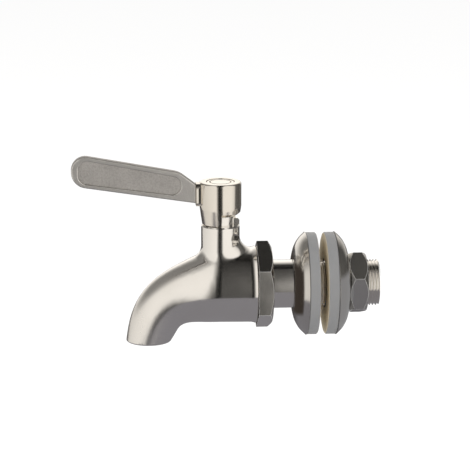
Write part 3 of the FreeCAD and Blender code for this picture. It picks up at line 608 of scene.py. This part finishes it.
class Bench:
    """Work on one mesh at a time, with faces and edges chosen by their place."""

    WELD = 0.001 * MM
    FLAT = 0.1
    FACE_WEIGHT = 50
    BEVEL_STEPS = 2

    @staticmethod
    def clear() -> None:
        """Leave edit mode, and deselect everything."""
        if bpy.context.object and bpy.context.object.mode != "OBJECT":
            bpy.ops.object.mode_set(mode="OBJECT")
        bpy.ops.object.select_all(action="DESELECT")

    @staticmethod
    def hold(piece: bpy.types.Object) -> None:
        """Make one object the only one selected, and the active one.

        Args:
            piece: The object.
        """
        Bench.clear()
        piece.select_set(True)
        bpy.context.view_layer.objects.active = piece

    @staticmethod
    def open_all(piece: bpy.types.Object) -> None:
        """Go into an object's edit mode with its whole mesh selected.

        Args:
            piece: The object.
        """
        Bench.hold(piece)
        bpy.ops.object.mode_set(mode="EDIT")
        bpy.ops.mesh.select_all(action="SELECT")

    @staticmethod
    def pick(piece: bpy.types.Object, kind: Pick, wanted: Callable[[object], bool]) -> None:
        """Select the faces or the edges that pass a test, in edit mode.

        Args:
            piece: The object.
            kind: Faces or edges.
            wanted: Whether one face or edge is selected.
        """
        Bench.hold(piece)
        bpy.ops.object.mode_set(mode="EDIT")
        bpy.ops.mesh.select_mode(type=kind.value)
        bpy.ops.mesh.select_all(action="DESELECT")
        edit = bmesh.from_edit_mesh(piece.data)
        for item in edit.faces if kind is Pick.FACE else edit.edges:
            item.select_set(wanted(item))
        bmesh.update_edit_mesh(piece.data)

    @staticmethod
    def settle(piece: bpy.types.Object) -> None:
        """Put the object's place into its mesh, with its origin at the scene's."""
        Bench.hold(piece)
        bpy.ops.object.transform_apply(location=True, rotation=True, scale=True)

    @staticmethod
    def apply(piece: bpy.types.Object, kind: str, name: str, **settings: object) -> None:
        """Add a modifier with its settings and apply it.

        Args:
            piece: The object it goes on.
            kind: The modifier's type.
            name: The modifier's name.
            **settings: Its properties.
        """
        Bench.hold(piece)
        modifier = piece.modifiers.new(name, kind)
        for label, value in settings.items():
            setattr(modifier, label, value)
        bpy.ops.object.modifier_apply(modifier=name)

    @staticmethod
    def carve(piece: bpy.types.Object, tool: bpy.types.Object, cut: Cut) -> None:
        """Cut one solid with another, which is then deleted.

        Args:
            piece: The solid that stays.
            tool: The solid that cuts it.
            cut: What stays of the first solid.
        """
        Bench.apply(piece, "BOOLEAN", "carve", object=tool, operation=cut.value, solver="EXACT")
        mesh = tool.data
        bpy.data.objects.remove(tool)
        bpy.data.meshes.remove(mesh)

    @staticmethod
    def copy_node(node: bpy.types.Object, name: str) -> bpy.types.Object:
        """A copy of a node whose triangles are joined and whose flat faces are whole.

        Args:
            node: The frame's own object, which stays as it is.
            name: The copy's name.

        Returns:
            The copy.
        """
        piece = bpy.data.objects.new(name, node.data.copy())
        bpy.context.scene.collection.objects.link(piece)
        Bench.open_all(piece)
        bpy.ops.mesh.remove_doubles(threshold=Bench.WELD)
        bpy.ops.mesh.dissolve_limited(angle_limit=math.radians(Bench.FLAT))
        bpy.ops.mesh.customdata_custom_splitnormals_clear()
        Bench.clear()
        return piece

    @staticmethod
    def shade(piece: bpy.types.Object, sharp: float) -> None:
        """Shade curves smoothly and keep flat faces flat.

        Args:
            piece: The object.
            sharp: The least angle that stays an edge, in degrees.
        """
        Bench.hold(piece)
        bpy.ops.object.shade_smooth_by_angle(angle=math.radians(sharp))
        Bench.apply(
            piece,
            "WEIGHTED_NORMAL",
            "flat_faces",
            mode="FACE_AREA",
            weight=Bench.FACE_WEIGHT,
            keep_sharp=True,
        )

    @staticmethod
    def break_edges(piece: bpy.types.Object, width: float, sharp: float) -> None:
        """Bevel every sharp edge of a piece, with the new faces in its second material slot.

        Args:
            piece: The object.
            width: The bevel's width, in millimetres.
            sharp: The least angle between two faces that counts as sharp, in degrees.
        """
        while len(piece.data.materials) < 2:
            piece.data.materials.append(None)
        Bench.pick(piece, Pick.EDGE, lambda edge: False)
        bpy.ops.mesh.edges_select_sharp(sharpness=math.radians(sharp))
        bpy.ops.mesh.bevel(
            offset=width * MM,
            segments=Bench.BEVEL_STEPS,
            affect="EDGES",
            clamp_overlap=True,
            material=1,
        )
        Bench.clear()


# Studio


@dataclass(frozen=True)
class Stop:
    """One stop of a tone ramp: a bearing in degrees and how bright the tent is there."""

    degrees: float
    tone: float


@dataclass(frozen=True)
class Flag:
    """A small card round the shank, seen only in a cup's mirror from one side, that paints a dark or grey
    reflection into that cup. Lengths are in millimetres.
    """

    name: str
    place: float
    reach: tuple[float, float]
    span: tuple[float, float]
    way: int
    tone: Colour
    fade: float = 3.0


@dataclass(frozen=True)
class Lamp:
    """A square lamp: where it stands, in metres, and how strong it is, in watts."""

    name: str
    place: tuple[float, float, float]
    power: float


ROUND_TENT = (
    Stop(-180, 1.0),
    Stop(-165, 0.9),
    Stop(-145, 0.55),
    Stop(-120, 0.6),
    Stop(-60, 0.72),
    Stop(-25, 0.78),
    Stop(60, 0.8),
    Stop(78, 0.66),
    Stop(88, 0.1),
    Stop(130, 0.07),
    Stop(148, 0.45),
    Stop(165, 0.9),
    Stop(180, 1.0),
)
ACROSS_GAP = (
    Stop(-18, 1.0),
    Stop(-12, 0.35),
    Stop(-7, 0.06),
    Stop(-3, 0.014),
    Stop(3, 0.016),
    Stop(7, 0.06),
    Stop(13.3, 0.10),
    Stop(14.0, 0.26),
    Stop(17, 0.86),
    Stop(20, 1.0),
)
# Painted reflections: a dark card paints the dark reflection beside the shank into the front cup, and a grey
# card paints a grey reflection into the rear cup.
FLAGS = (
    Flag("painted_dark_reflection", -8.7, (7.95, 15.8), (-11.0, 10.0), 1, (0.055, 0.045, 0.038)),
    Flag("painted_grey_reflection", 11.35, (7.95, 20.0), (-20.0, 7.5), -1, (0.32, 0.32, 0.33)),
)
LAMPS = (
    Lamp("left_lamp", (-0.9, -0.9, 1.1), 7.0),
    Lamp("right_lamp", (0.9, -0.8, 0.9), 3.5),
)


@dataclass
class Studio:
    """The floor, the lamps, the tent that the metal mirrors, and the camera."""

    floor_low: float = -0.1
    floor_reach: float = 7.0
    floor_tone: Colour = (0.97, 0.97, 0.97)
    floor_rough: float = 0.9
    world_strength: float = 0.95
    lamp_size: float = 0.8
    lamp_tone: Colour = (1.0, 0.97, 0.93)
    aim: Vector = field(default_factory=lambda: millimetres(-31.3, 0, 12))
    camera_azimuth: float = -3.908
    camera_elevation: float = 13.848
    camera_distance: float = 0.743981
    camera_lens: float = 175.145
    camera_sensor: float = 36.0
    camera_range: tuple[float, float] = (0.01, 60.0)
    off_centre: tuple[float, float] = (0.03116, 0.02972)
    round_steps: int = 64
    tent_radius: float = 1.2
    tent_tone: Colour = (1.0, 0.962, 0.905)
    tent_strength: float = 1.28
    gap_bearing: float = -7.0
    gap_end: tuple[float, float] = (112.0, 150.0)
    shade_way: Vector = field(default_factory=lambda: Vector((-0.62, 0.45, 0.64)))
    shade_range: tuple[float, float] = (0.72, 0.97)
    shade_tone: Colour = (0.3, 0.3, 0.3)
    table_start: float = -0.194
    table_end: float = 1.2
    table_widths: tuple[float, float] = (0.34, 1.2)
    table_turn: tuple[float, float] = (0.1, 0.3)
    table_front: Colour = (0.232, 0.225, 0.24)
    table_back: Colour = (0.08, 0.075, 0.075)

    def only_mirrored(self, card: bpy.types.Object, name: str, material: bpy.types.Material) -> None:
        """Finish a card that only mirrored rays see, as a flag beside a product table.

        Args:
            card: The card.
            name: Its name.
            material: What it glows with.
        """
        card.name = name
        card.data.materials.append(material)
        card.visible_camera = False
        card.visible_diffuse = False
        card.visible_shadow = False
        card.visible_transmission = False

    def glowing(self, name: str) -> tuple[bpy.types.Material, Tree, bpy.types.Node]:
        """A material that only glows.

        Args:
            name: The material's name.

        Returns:
            The material, a Tree on it and its emission node.
        """
        material = bpy.data.materials.new(name)
        material.use_nodes = True
        material.cycles.emission_sampling = "NONE"
        tree = Tree(material.node_tree)
        material.node_tree.nodes.remove(material.node_tree.nodes["Principled BSDF"])
        glow = tree.add("ShaderNodeEmission")
        tree.feed(surface(material), glow.outputs[0])
        return material, tree, glow

    def ramp(self, tree: Tree, degrees: Socket, stops: tuple[Stop, ...]) -> Socket:
        """A tone that changes with a bearing from -180 to 180 degrees.

        Args:
            tree: Where the nodes go.
            degrees: The bearing.
            stops: The tone at each named bearing.

        Returns:
            The tone's socket.
        """
        share = tree.maths("MULTIPLY_ADD", degrees, 1 / 360, 0.5)
        node = tree.add("ShaderNodeValToRGB", {"Fac": share})
        steps = node.color_ramp.elements
        steps.remove(steps[1])
        steps[0].position = stops[0].degrees / 360 + 0.5
        steps[0].color = opaque((stops[0].tone,) * 3)
        for stop in stops[1:]:
            steps.new(stop.degrees / 360 + 0.5).color = opaque((stop.tone,) * 3)
        return node.outputs["Color"]

    def along(self, tree: Tree, unit: Socket, way: Vector) -> Socket:
        """How far a unit vector goes along a way.

        Args:
            tree: Where the nodes go.
            unit: The unit vector.
            way: The way, one unit long.

        Returns:
            The cosine's socket.
        """
        feeds = {0: unit, 1: way}
        return tree.add("ShaderNodeVectorMath", feeds, operation="DOT_PRODUCT").outputs["Value"]

    def make_tent(self) -> None:
        """A round white tent with a dark gap that runs up the front and over the top."""
        material, tree, glow = self.glowing("tent_cloth")
        feeds = {0: tree.place(), 1: self.aim}
        offset = tree.add("ShaderNodeVectorMath", feeds, operation="SUBTRACT").outputs[0]
        unit = tree.add("ShaderNodeVectorMath", {0: offset}, operation="NORMALIZE").outputs[0]
        parts = tree.split(unit)
        toward = tree.maths("MULTIPLY", parts["Y"], -1.0)
        bearing = tree.maths("DEGREES", tree.maths("ARCTAN2", parts["X"], toward))
        gap = math.radians(self.gap_bearing)
        side = self.along(tree, unit, Vector((math.cos(gap), math.sin(gap), 0)))
        ahead = self.along(tree, unit, Vector((math.sin(gap), -math.cos(gap), 0)))
        across = self.ramp(tree, tree.maths("DEGREES", tree.maths("ARCSINE", side)), ACROSS_GAP)
        over = tree.maths("DEGREES", tree.maths("ARCTAN2", parts["Z"], ahead))
        closed = tree.blend(tree.remap(over, *self.gap_end), across, WHITE)
        near = self.along(tree, unit, self.shade_way.normalized())
        shaded = tree.blend(tree.remap(near, *self.shade_range), WHITE, self.shade_tone)
        tone = self.ramp(tree, bearing, ROUND_TENT)
        for layer in (closed, shaded, self.tent_tone):
            tone = tree.blend(1.0, tone, layer, "MULTIPLY")
        tree.feed(glow.inputs["Color"], tone)
        glow.inputs["Strength"].default_value = self.tent_strength
        Bench.clear()
        bpy.ops.mesh.primitive_uv_sphere_add(
            segments=self.round_steps,
            ring_count=self.round_steps // 2,
            radius=self.tent_radius,
            location=self.aim,
        )
        tent = bpy.context.object
        Bench.settle(tent)
        self.only_mirrored(tent, "tent", material)

    def make_table_card(self) -> None:
        """A grey card just over the floor, darker behind the object, that only the metal sees."""
        material, tree, glow = self.glowing("table_card")
        behind = tree.remap(tree.split(tree.place())["Y"], *self.table_turn)
        tree.feed(glow.inputs["Color"], tree.blend(behind, self.table_front, self.table_back))
        near, far = self.table_widths
        middle = (self.table_start + self.table_end) / 2
        Bench.clear()
        bpy.ops.mesh.primitive_plane_add(size=1, location=(self.aim.x, middle, self.floor_low + MM))
        card = bpy.context.object
        card.scale = (near, self.table_end - self.table_start, 1)
        Bench.settle(card)
        Bench.pick(card, Pick.EDGE, lambda edge: all(corner.co.y > middle for corner in edge.verts))
        bpy.ops.transform.resize(value=(far / near, 1, 1), center_override=(self.aim.x, 0, 0))
        Bench.clear()
        self.only_mirrored(card, "table_card", material)

    def make_flag(self, flag: Flag) -> None:
        """Set up one flag, which is clear from its other side and paints a reflection into a cup.

        Args:
            flag: Its place, size and tone.
        """
        material, tree, glow = self.glowing(flag.name)
        # Painted reflection: this plain glow is what the cup mirrors in place of its real surroundings.
        glow.inputs["Color"].default_value = opaque(flag.tone)
        behind = tree.add("ShaderNodeNewGeometry").outputs["Backfacing"]
        sides = {
            0: tree.maths("MAXIMUM", behind, self.edge_fade(tree, flag)),
            1: glow.outputs[0],
            2: tree.add("ShaderNodeBsdfTransparent").outputs[0],
        }
        tree.feed(surface(material), tree.add("ShaderNodeMixShader", sides).outputs[0])
        inner, outer = flag.reach
        Bench.clear()
        bpy.ops.mesh.primitive_circle_add(
            vertices=self.round_steps,
            radius=outer * MM,
            fill_type="NGON",
            location=(flag.place * MM, 0, 0),
            rotation=(0, flag.way * math.pi / 2, 0),
        )
        card = bpy.context.object
        Bench.settle(card)
        Bench.open_all(card)
        bpy.ops.mesh.inset(thickness=(outer - inner) * MM)
        bpy.ops.mesh.delete(type="FACE")
        for level, way in zip(flag.span, (-1, 1)):
            bpy.ops.mesh.select_all(action="SELECT")
            bpy.ops.mesh.bisect(plane_co=(0, 0, level * MM), plane_no=(0, 0, way), clear_outer=True)
        Bench.clear()
        self.only_mirrored(card, flag.name, material)

    def edge_fade(self, tree: Tree, flag: Flag) -> Socket:
        """How clear a flag is, from 0 in its middle to 1 at its rim, top and bottom.

        Args:
            tree: Where the nodes go.
            flag: Its size.

        Returns:
            The clearness's socket.
        """
        parts = tree.split(tree.place())
        low, high = flag.span
        rim, top, bottom = (
            tree.remap(value, start * MM, end * MM)
            for value, start, end in (
                (tree.off_axis(parts), flag.reach[1] - flag.fade / 2, flag.reach[1]),
                (parts["Z"], high - flag.fade, high),
                (parts["Z"], low + flag.fade, low),
            )
        )
        return tree.maths("MAXIMUM", tree.maths("MAXIMUM", rim, top), bottom)

    def make_floor(self) -> None:
        """A white floor that the metal doesn't mirror, because the table card stands in for it."""
        Bench.clear()
        bpy.ops.mesh.primitive_plane_add(size=2 * self.floor_reach, location=(0, 0, self.floor_low))
        floor = bpy.context.object
        floor.name = "floor"
        Bench.settle(floor)
        material = bpy.data.materials.new("pale_floor")
        material.use_nodes = True
        shader = material.node_tree.nodes["Principled BSDF"]
        shader.inputs["Base Color"].default_value = opaque(self.floor_tone)
        shader.inputs["Roughness"].default_value = self.floor_rough
        shader.inputs["Specular IOR Level"].default_value = 0.0
        floor.data.materials.append(material)
        floor.visible_glossy = False

    def make_lamp(self, plan: Lamp) -> None:
        """Set up one soft lamp that lights the object and isn't mirrored.

        Args:
            plan: Its place and power.
        """
        light = bpy.data.lights.new(plan.name, "AREA")
        light.shape = "SQUARE"
        light.size = self.lamp_size
        light.energy = plan.power
        light.color = self.lamp_tone
        lamp = bpy.data.objects.new(plan.name, light)
        lamp.location = plan.place
        lamp.rotation_mode = "QUATERNION"
        lamp.rotation_quaternion = (self.aim - lamp.location).to_track_quat("-Z", "Y")
        lamp.visible_camera = False
        lamp.visible_glossy = False
        bpy.context.scene.collection.objects.link(lamp)

    def make_world(self) -> None:
        """An even white room."""
        world = bpy.data.worlds.new("white_room")
        world.use_nodes = True
        room = world.node_tree.nodes["Background"]
        room.inputs["Color"].default_value = opaque(WHITE)
        room.inputs["Strength"].default_value = self.world_strength
        bpy.context.scene.world = world

    def make_camera(self) -> None:
        """The camera, where the photograph was taken from."""
        azimuth, elevation = math.radians(self.camera_azimuth), math.radians(self.camera_elevation)
        flat = math.cos(elevation)
        back = Vector((math.sin(azimuth) * flat, -math.cos(azimuth) * flat, math.sin(elevation)))
        data = bpy.data.cameras.new("product_camera")
        data.lens = self.camera_lens
        data.sensor_width = self.camera_sensor
        data.sensor_fit = "HORIZONTAL"
        data.shift_x, data.shift_y = self.off_centre
        data.clip_start, data.clip_end = self.camera_range
        camera = bpy.data.objects.new("product_camera", data)
        camera.location = self.aim + back * self.camera_distance
        camera.rotation_mode = "QUATERNION"
        camera.rotation_quaternion = (-back).to_track_quat("-Z", "Y")
        bpy.context.scene.collection.objects.link(camera)
        bpy.context.scene.camera = camera

    def make(self) -> None:
        """Set the whole stage."""
        bpy.context.scene.view_settings.view_transform = "Standard"
        self.make_world()
        self.make_floor()
        self.make_tent()
        self.make_table_card()
        for flag in FLAGS:
            self.make_flag(flag)
        for plan in LAMPS:
            self.make_lamp(plan)
        self.make_camera()
        LOG.info("studio ready")


# Pieces


@dataclass
class PolishedPiece:
    """A node's own form with evenly shaded curves and broken edges, which takes the node's place."""

    node: str
    finish: str
    slot: Slot
    body: Body
    edge: float = 0.0
    sharp: float = 30.0

    def build(self, nodes: Nodes, finishes: Finishes) -> None:
        """Build the piece and dress it.

        Args:
            nodes: The frame's objects by name.
            finishes: The finishes to dress it with.
        """
        piece = Bench.copy_node(nodes[self.node], self.node + "_polished")
        self.shape(piece)
        Bench.shade(piece, self.sharp)
        finishes.dress(piece, self.finish)
        if self.edge:
            finishes.dress_edges(piece)
        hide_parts(self.node)
        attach(piece, self.body.value)
        LOG.info("piece %s, %d faces", piece.name, len(piece.data.polygons))

    def shape(self, piece: bpy.types.Object) -> None:
        """Break the sharp edges, where the piece has a bevel's width."""
        if self.edge:
            Bench.break_edges(piece, self.edge, self.sharp)


@dataclass
class RoundedCap(PolishedPiece):
    """The cap, whose pad for the lever has rounded upright edges. Lengths are in millimetres."""

    pad_half: float = 2.5
    pad_round: float = 1.2
    round_steps: int = 6
    least_rise: float = 1.0
    end_slack: float = 0.01
    side_slack: float = 0.05

    def shape(self, piece: bpy.types.Object) -> None:
        """Round the two upright edges at the pad's end.

        Args:
            piece: The cap's copy.
        """
        end = min(corner.co.x for corner in piece.data.vertices) + self.end_slack * MM
        beside = (self.pad_half - self.side_slack) * MM

        def upright(edge: bmesh.types.BMEdge) -> bool:
            """Tell whether an edge runs upward at the pad's end and side.

            Args:
                edge: One edge of the cap.

            Returns:
                Whether it is one of the two.
            """
            first, second = (corner.co for corner in edge.verts)
            at_corner = max(first.x, second.x) < end and min(abs(first.y), abs(second.y)) > beside
            return at_corner and abs(first.z - second.z) > self.least_rise * MM

        Bench.pick(piece, Pick.EDGE, upright)
        bpy.ops.mesh.bevel(offset=self.pad_round * MM, segments=self.round_steps, affect="EDGES")
        Bench.clear()


@dataclass
class ThreadedShank:
    """The tail piece with its real screw thread, which takes the plain node's place.

    Lengths are in millimetres. The thread's profile is given over one pitch, as shares of the
    pitch and of the way from its root to its crest.
    """

    node: str = "tail_shank"
    crest: float = 7.5
    root: float = 6.88
    pitch: float = 1.0
    profile: tuple[tuple[float, float], ...] = ((0, 0), (0.10, 0), (0.45, 1), (0.55, 1), (0.90, 0), (1, 0))
    start: float = -6.4
    lead: float = 0.8
    lead_steps: int = 3
    bore: float = 5.0
    weld: float = 0.003
    steps: int = 72
    spare: float = 2.0
    skin: float = 0.1
    edge: float = 0.45
    edge_sharp: float = 30.0
    sharp: float = 24.0

    def build(self, nodes: Nodes, finishes: Finishes) -> None:
        """Build the threaded end, join the collar to it and dress them.

        Args:
            nodes: The frame's objects by name.
            finishes: The finishes to dress it with.
        """
        node = nodes[self.node]
        end = max(corner.co.x for corner in node.data.vertices) / MM
        collar = self.make_collar(node, end)
        thread = self.make_thread(end)
        Bench.carve(thread, self.make_blank(end), Cut.SHARED)
        finishes.dress(collar, "mirror_steel")
        finishes.dress_edges(collar)
        finishes.dress(thread, "mirror_steel")
        Bench.hold(collar)
        thread.select_set(True)
        bpy.ops.object.join()
        piece = bpy.context.object
        piece.name = "threaded_tail"
        Bench.shade(piece, self.sharp)
        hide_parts(self.node)
        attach(piece, Body.VALVE.value)
        LOG.info("piece %s, %d faces", piece.name, len(piece.data.polygons))

    def make_collar(self, node: bpy.types.Object, end: float) -> bpy.types.Object:
        """The nose, the hexagon and the plain shank, cut from a copy of the node.

        Args:
            node: The frame's own tail piece.
            end: Where the shank ends along its axis.

        Returns:
            The copy, cut off square where the thread begins.
        """
        collar = Bench.copy_node(node, "collar_part")
        Bench.break_edges(collar, self.edge, self.edge_sharp)
        cutter = self.make_rod("collar_cutter", end + self.spare, self.crest + self.spare)
        Bench.carve(collar, cutter, Cut.AWAY)
        return collar

    def make_rod(self, name: str, end: float, radius: float) -> bpy.types.Object:
        """A plain rod on the shank's axis, from where the thread begins.

        Args:
            name: The rod's name.
            end: Its far end along the axis.
            radius: Its radius.

        Returns:
            The rod.
        """
        Bench.clear()
        bpy.ops.mesh.primitive_cylinder_add(
            vertices=self.steps,
            radius=radius * MM,
            depth=(end - self.start) * MM,
            location=((self.start + end) / 2 * MM, 0, 0),
            rotation=(0, math.pi / 2, 0),
        )
        rod = bpy.context.object
        rod.name = name
        Bench.settle(rod)
        return rod

    def make_blank(self, end: float) -> bpy.types.Object:
        """A tube just wider than the thread, whose far end has a bevelled rim.

        Args:
            end: Where the shank ends along its axis.

        Returns:
            The tube.
        """
        radius = self.crest + self.skin
        blank = self.make_rod("thread_blank", end, radius)
        Bench.pick(blank, Pick.FACE, lambda face: len(face.verts) > 4)
        bpy.ops.mesh.inset(thickness=(radius - self.bore) * MM)
        bpy.ops.mesh.bridge_edge_loops()
        middle = (radius + self.bore) / 2 * MM

        def at_rim(edge: bmesh.types.BMEdge) -> bool:
            """Whether an edge is on the outer rim of the far end."""
            at_end = all(abs(corner.co.x - end * MM) < Bench.WELD for corner in edge.verts)
            return at_end and all(corner.co.yz.length > middle for corner in edge.verts)

        Bench.pick(blank, Pick.EDGE, at_rim)
        bpy.ops.mesh.bevel(offset=self.lead * MM, segments=self.lead_steps, affect="EDGES")
        bpy.ops.mesh.select_all(action="SELECT")
        bpy.ops.mesh.normals_make_consistent(inside=False)
        Bench.clear()
        return blank

    def make_thread(self, end: float) -> bpy.types.Object:
        """A rod with the helix all along it, a little longer than the thread.

        Args:
            end: Where the shank ends along its axis.

        Returns:
            The closed rod.
        """
        first, last = self.start - self.spare, end + self.spare
        begin = first - self.pitch
        turns = math.ceil((last - first) / self.pitch) + 2
        rise = self.crest - self.root
        spots = [
            millimetres(begin + along * self.pitch, 0.0, self.root + up * rise) for along, up in self.profile
        ]
        mesh = bpy.data.meshes.new("thread_part")
        mesh.from_pydata(spots, [(i, i + 1) for i in range(len(spots) - 1)], [])
        thread = bpy.data.objects.new("thread_part", mesh)
        bpy.context.scene.collection.objects.link(thread)
        Bench.apply(
            thread,
            "SCREW",
            "winding",
            axis="X",
            angle=2 * math.pi,
            screw_offset=self.pitch * MM,
            iterations=turns,
            steps=self.steps,
            render_steps=self.steps,
        )
        Bench.open_all(thread)
        bpy.ops.mesh.remove_doubles(threshold=self.weld * MM)
        for level, way in ((first, -1), (last, 1)):
            bpy.ops.mesh.select_all(action="SELECT")
            bpy.ops.mesh.bisect(
                plane_co=(level * MM, 0, 0), plane_no=(way, 0, 0), clear_outer=True, use_fill=True
            )
        bpy.ops.mesh.select_all(action="SELECT")
        bpy.ops.mesh.normals_make_consistent(inside=False)
        Bench.clear()
        return thread


@dataclass
class LeverAndCap:
    """The lever, the cap and what is fixed to them."""

    cap: RoundedCap = field(
        default_factory=lambda: RoundedCap("handle_hub", "warm_steel", Slot.POLISHED, Body.HANDLE)
    )
    inside: tuple[str, ...] = ("handle_screw", "spring_washer", "stem", "ball")

    def build(self, nodes: Nodes, finishes: Finishes) -> None:
        """Build the cap, and give the other nodes their finishes.

        Args:
            nodes: The frame's objects by name.
            finishes: The finishes to dress them with.
        """
        finishes.dress(nodes["lever"], "blasted_steel")
        finishes.dress(nodes["hub_button"], "warm_steel")
        self.cap.build(nodes, finishes)
        for name in self.inside:
            finishes.dress(nodes[name], "bright_steel")


@dataclass
class BodyAndSpout:
    """The cast body and the parts that stay inside it."""

    casting: PolishedPiece = field(
        default_factory=lambda: PolishedPiece("valve_body", "mirror_steel", Slot.POLISHED, Body.VALVE)
    )
    seats: tuple[str, ...] = ("body_seal", "front_seat", "rear_seat", "glide_washer")
    rings: tuple[str, ...] = ("lower_stem_ring", "upper_stem_ring")

    def build(self, nodes: Nodes, finishes: Finishes) -> None:
        """Build the body, and give the other nodes their finishes.

        Args:
            nodes: The frame's objects by name.
            finishes: The finishes to dress them with.
        """
        self.casting.build(nodes, finishes)
        finishes.dress(nodes["stem_lock_screw"], "bright_steel")
        for name in self.seats:
            finishes.dress(nodes[name], "white_seat")
        for name in self.rings:
            finishes.dress(nodes[name], "black_ring")


@dataclass
class Clamp:
    """The washers and the nut that hold the container's wall."""

    nut: PolishedPiece = field(
        default_factory=lambda: PolishedPiece("lock_nut", "turned_bar", Slot.TURNED, Body.NUT, edge=0.4)
    )

    def build(self, nodes: Nodes, finishes: Finishes) -> None:
        """Build the nut, and give the washers their finishes.

        Args:
            nodes: The frame's objects by name.
            finishes: The finishes to dress them with.
        """
        for side in ("front", "rear"):
            finishes.dress(nodes[side + "_cup_washer"], "polished_sheet")
            finishes.dress(nodes[side + "_silicone_washer"], "clear_silicone")
        self.nut.build(nodes, finishes)


def main() -> None:
    """Build and dress the spigot."""
    logging.basicConfig(level=logging.INFO, format="%(name)s: %(message)s")
    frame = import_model()
    finishes = Finishes()
    finishes.make_all()
    for part in (BodyAndSpout(), LeverAndCap(), Clamp(), ThreadedShank()):
        part.build(frame["nodes"], finishes)
    for name, node in frame["nodes"].items():
        LOG.info("node %s, %d faces", name, len(node.data.polygons))
    Studio().make()


if __name__ == "__main__":
    main()
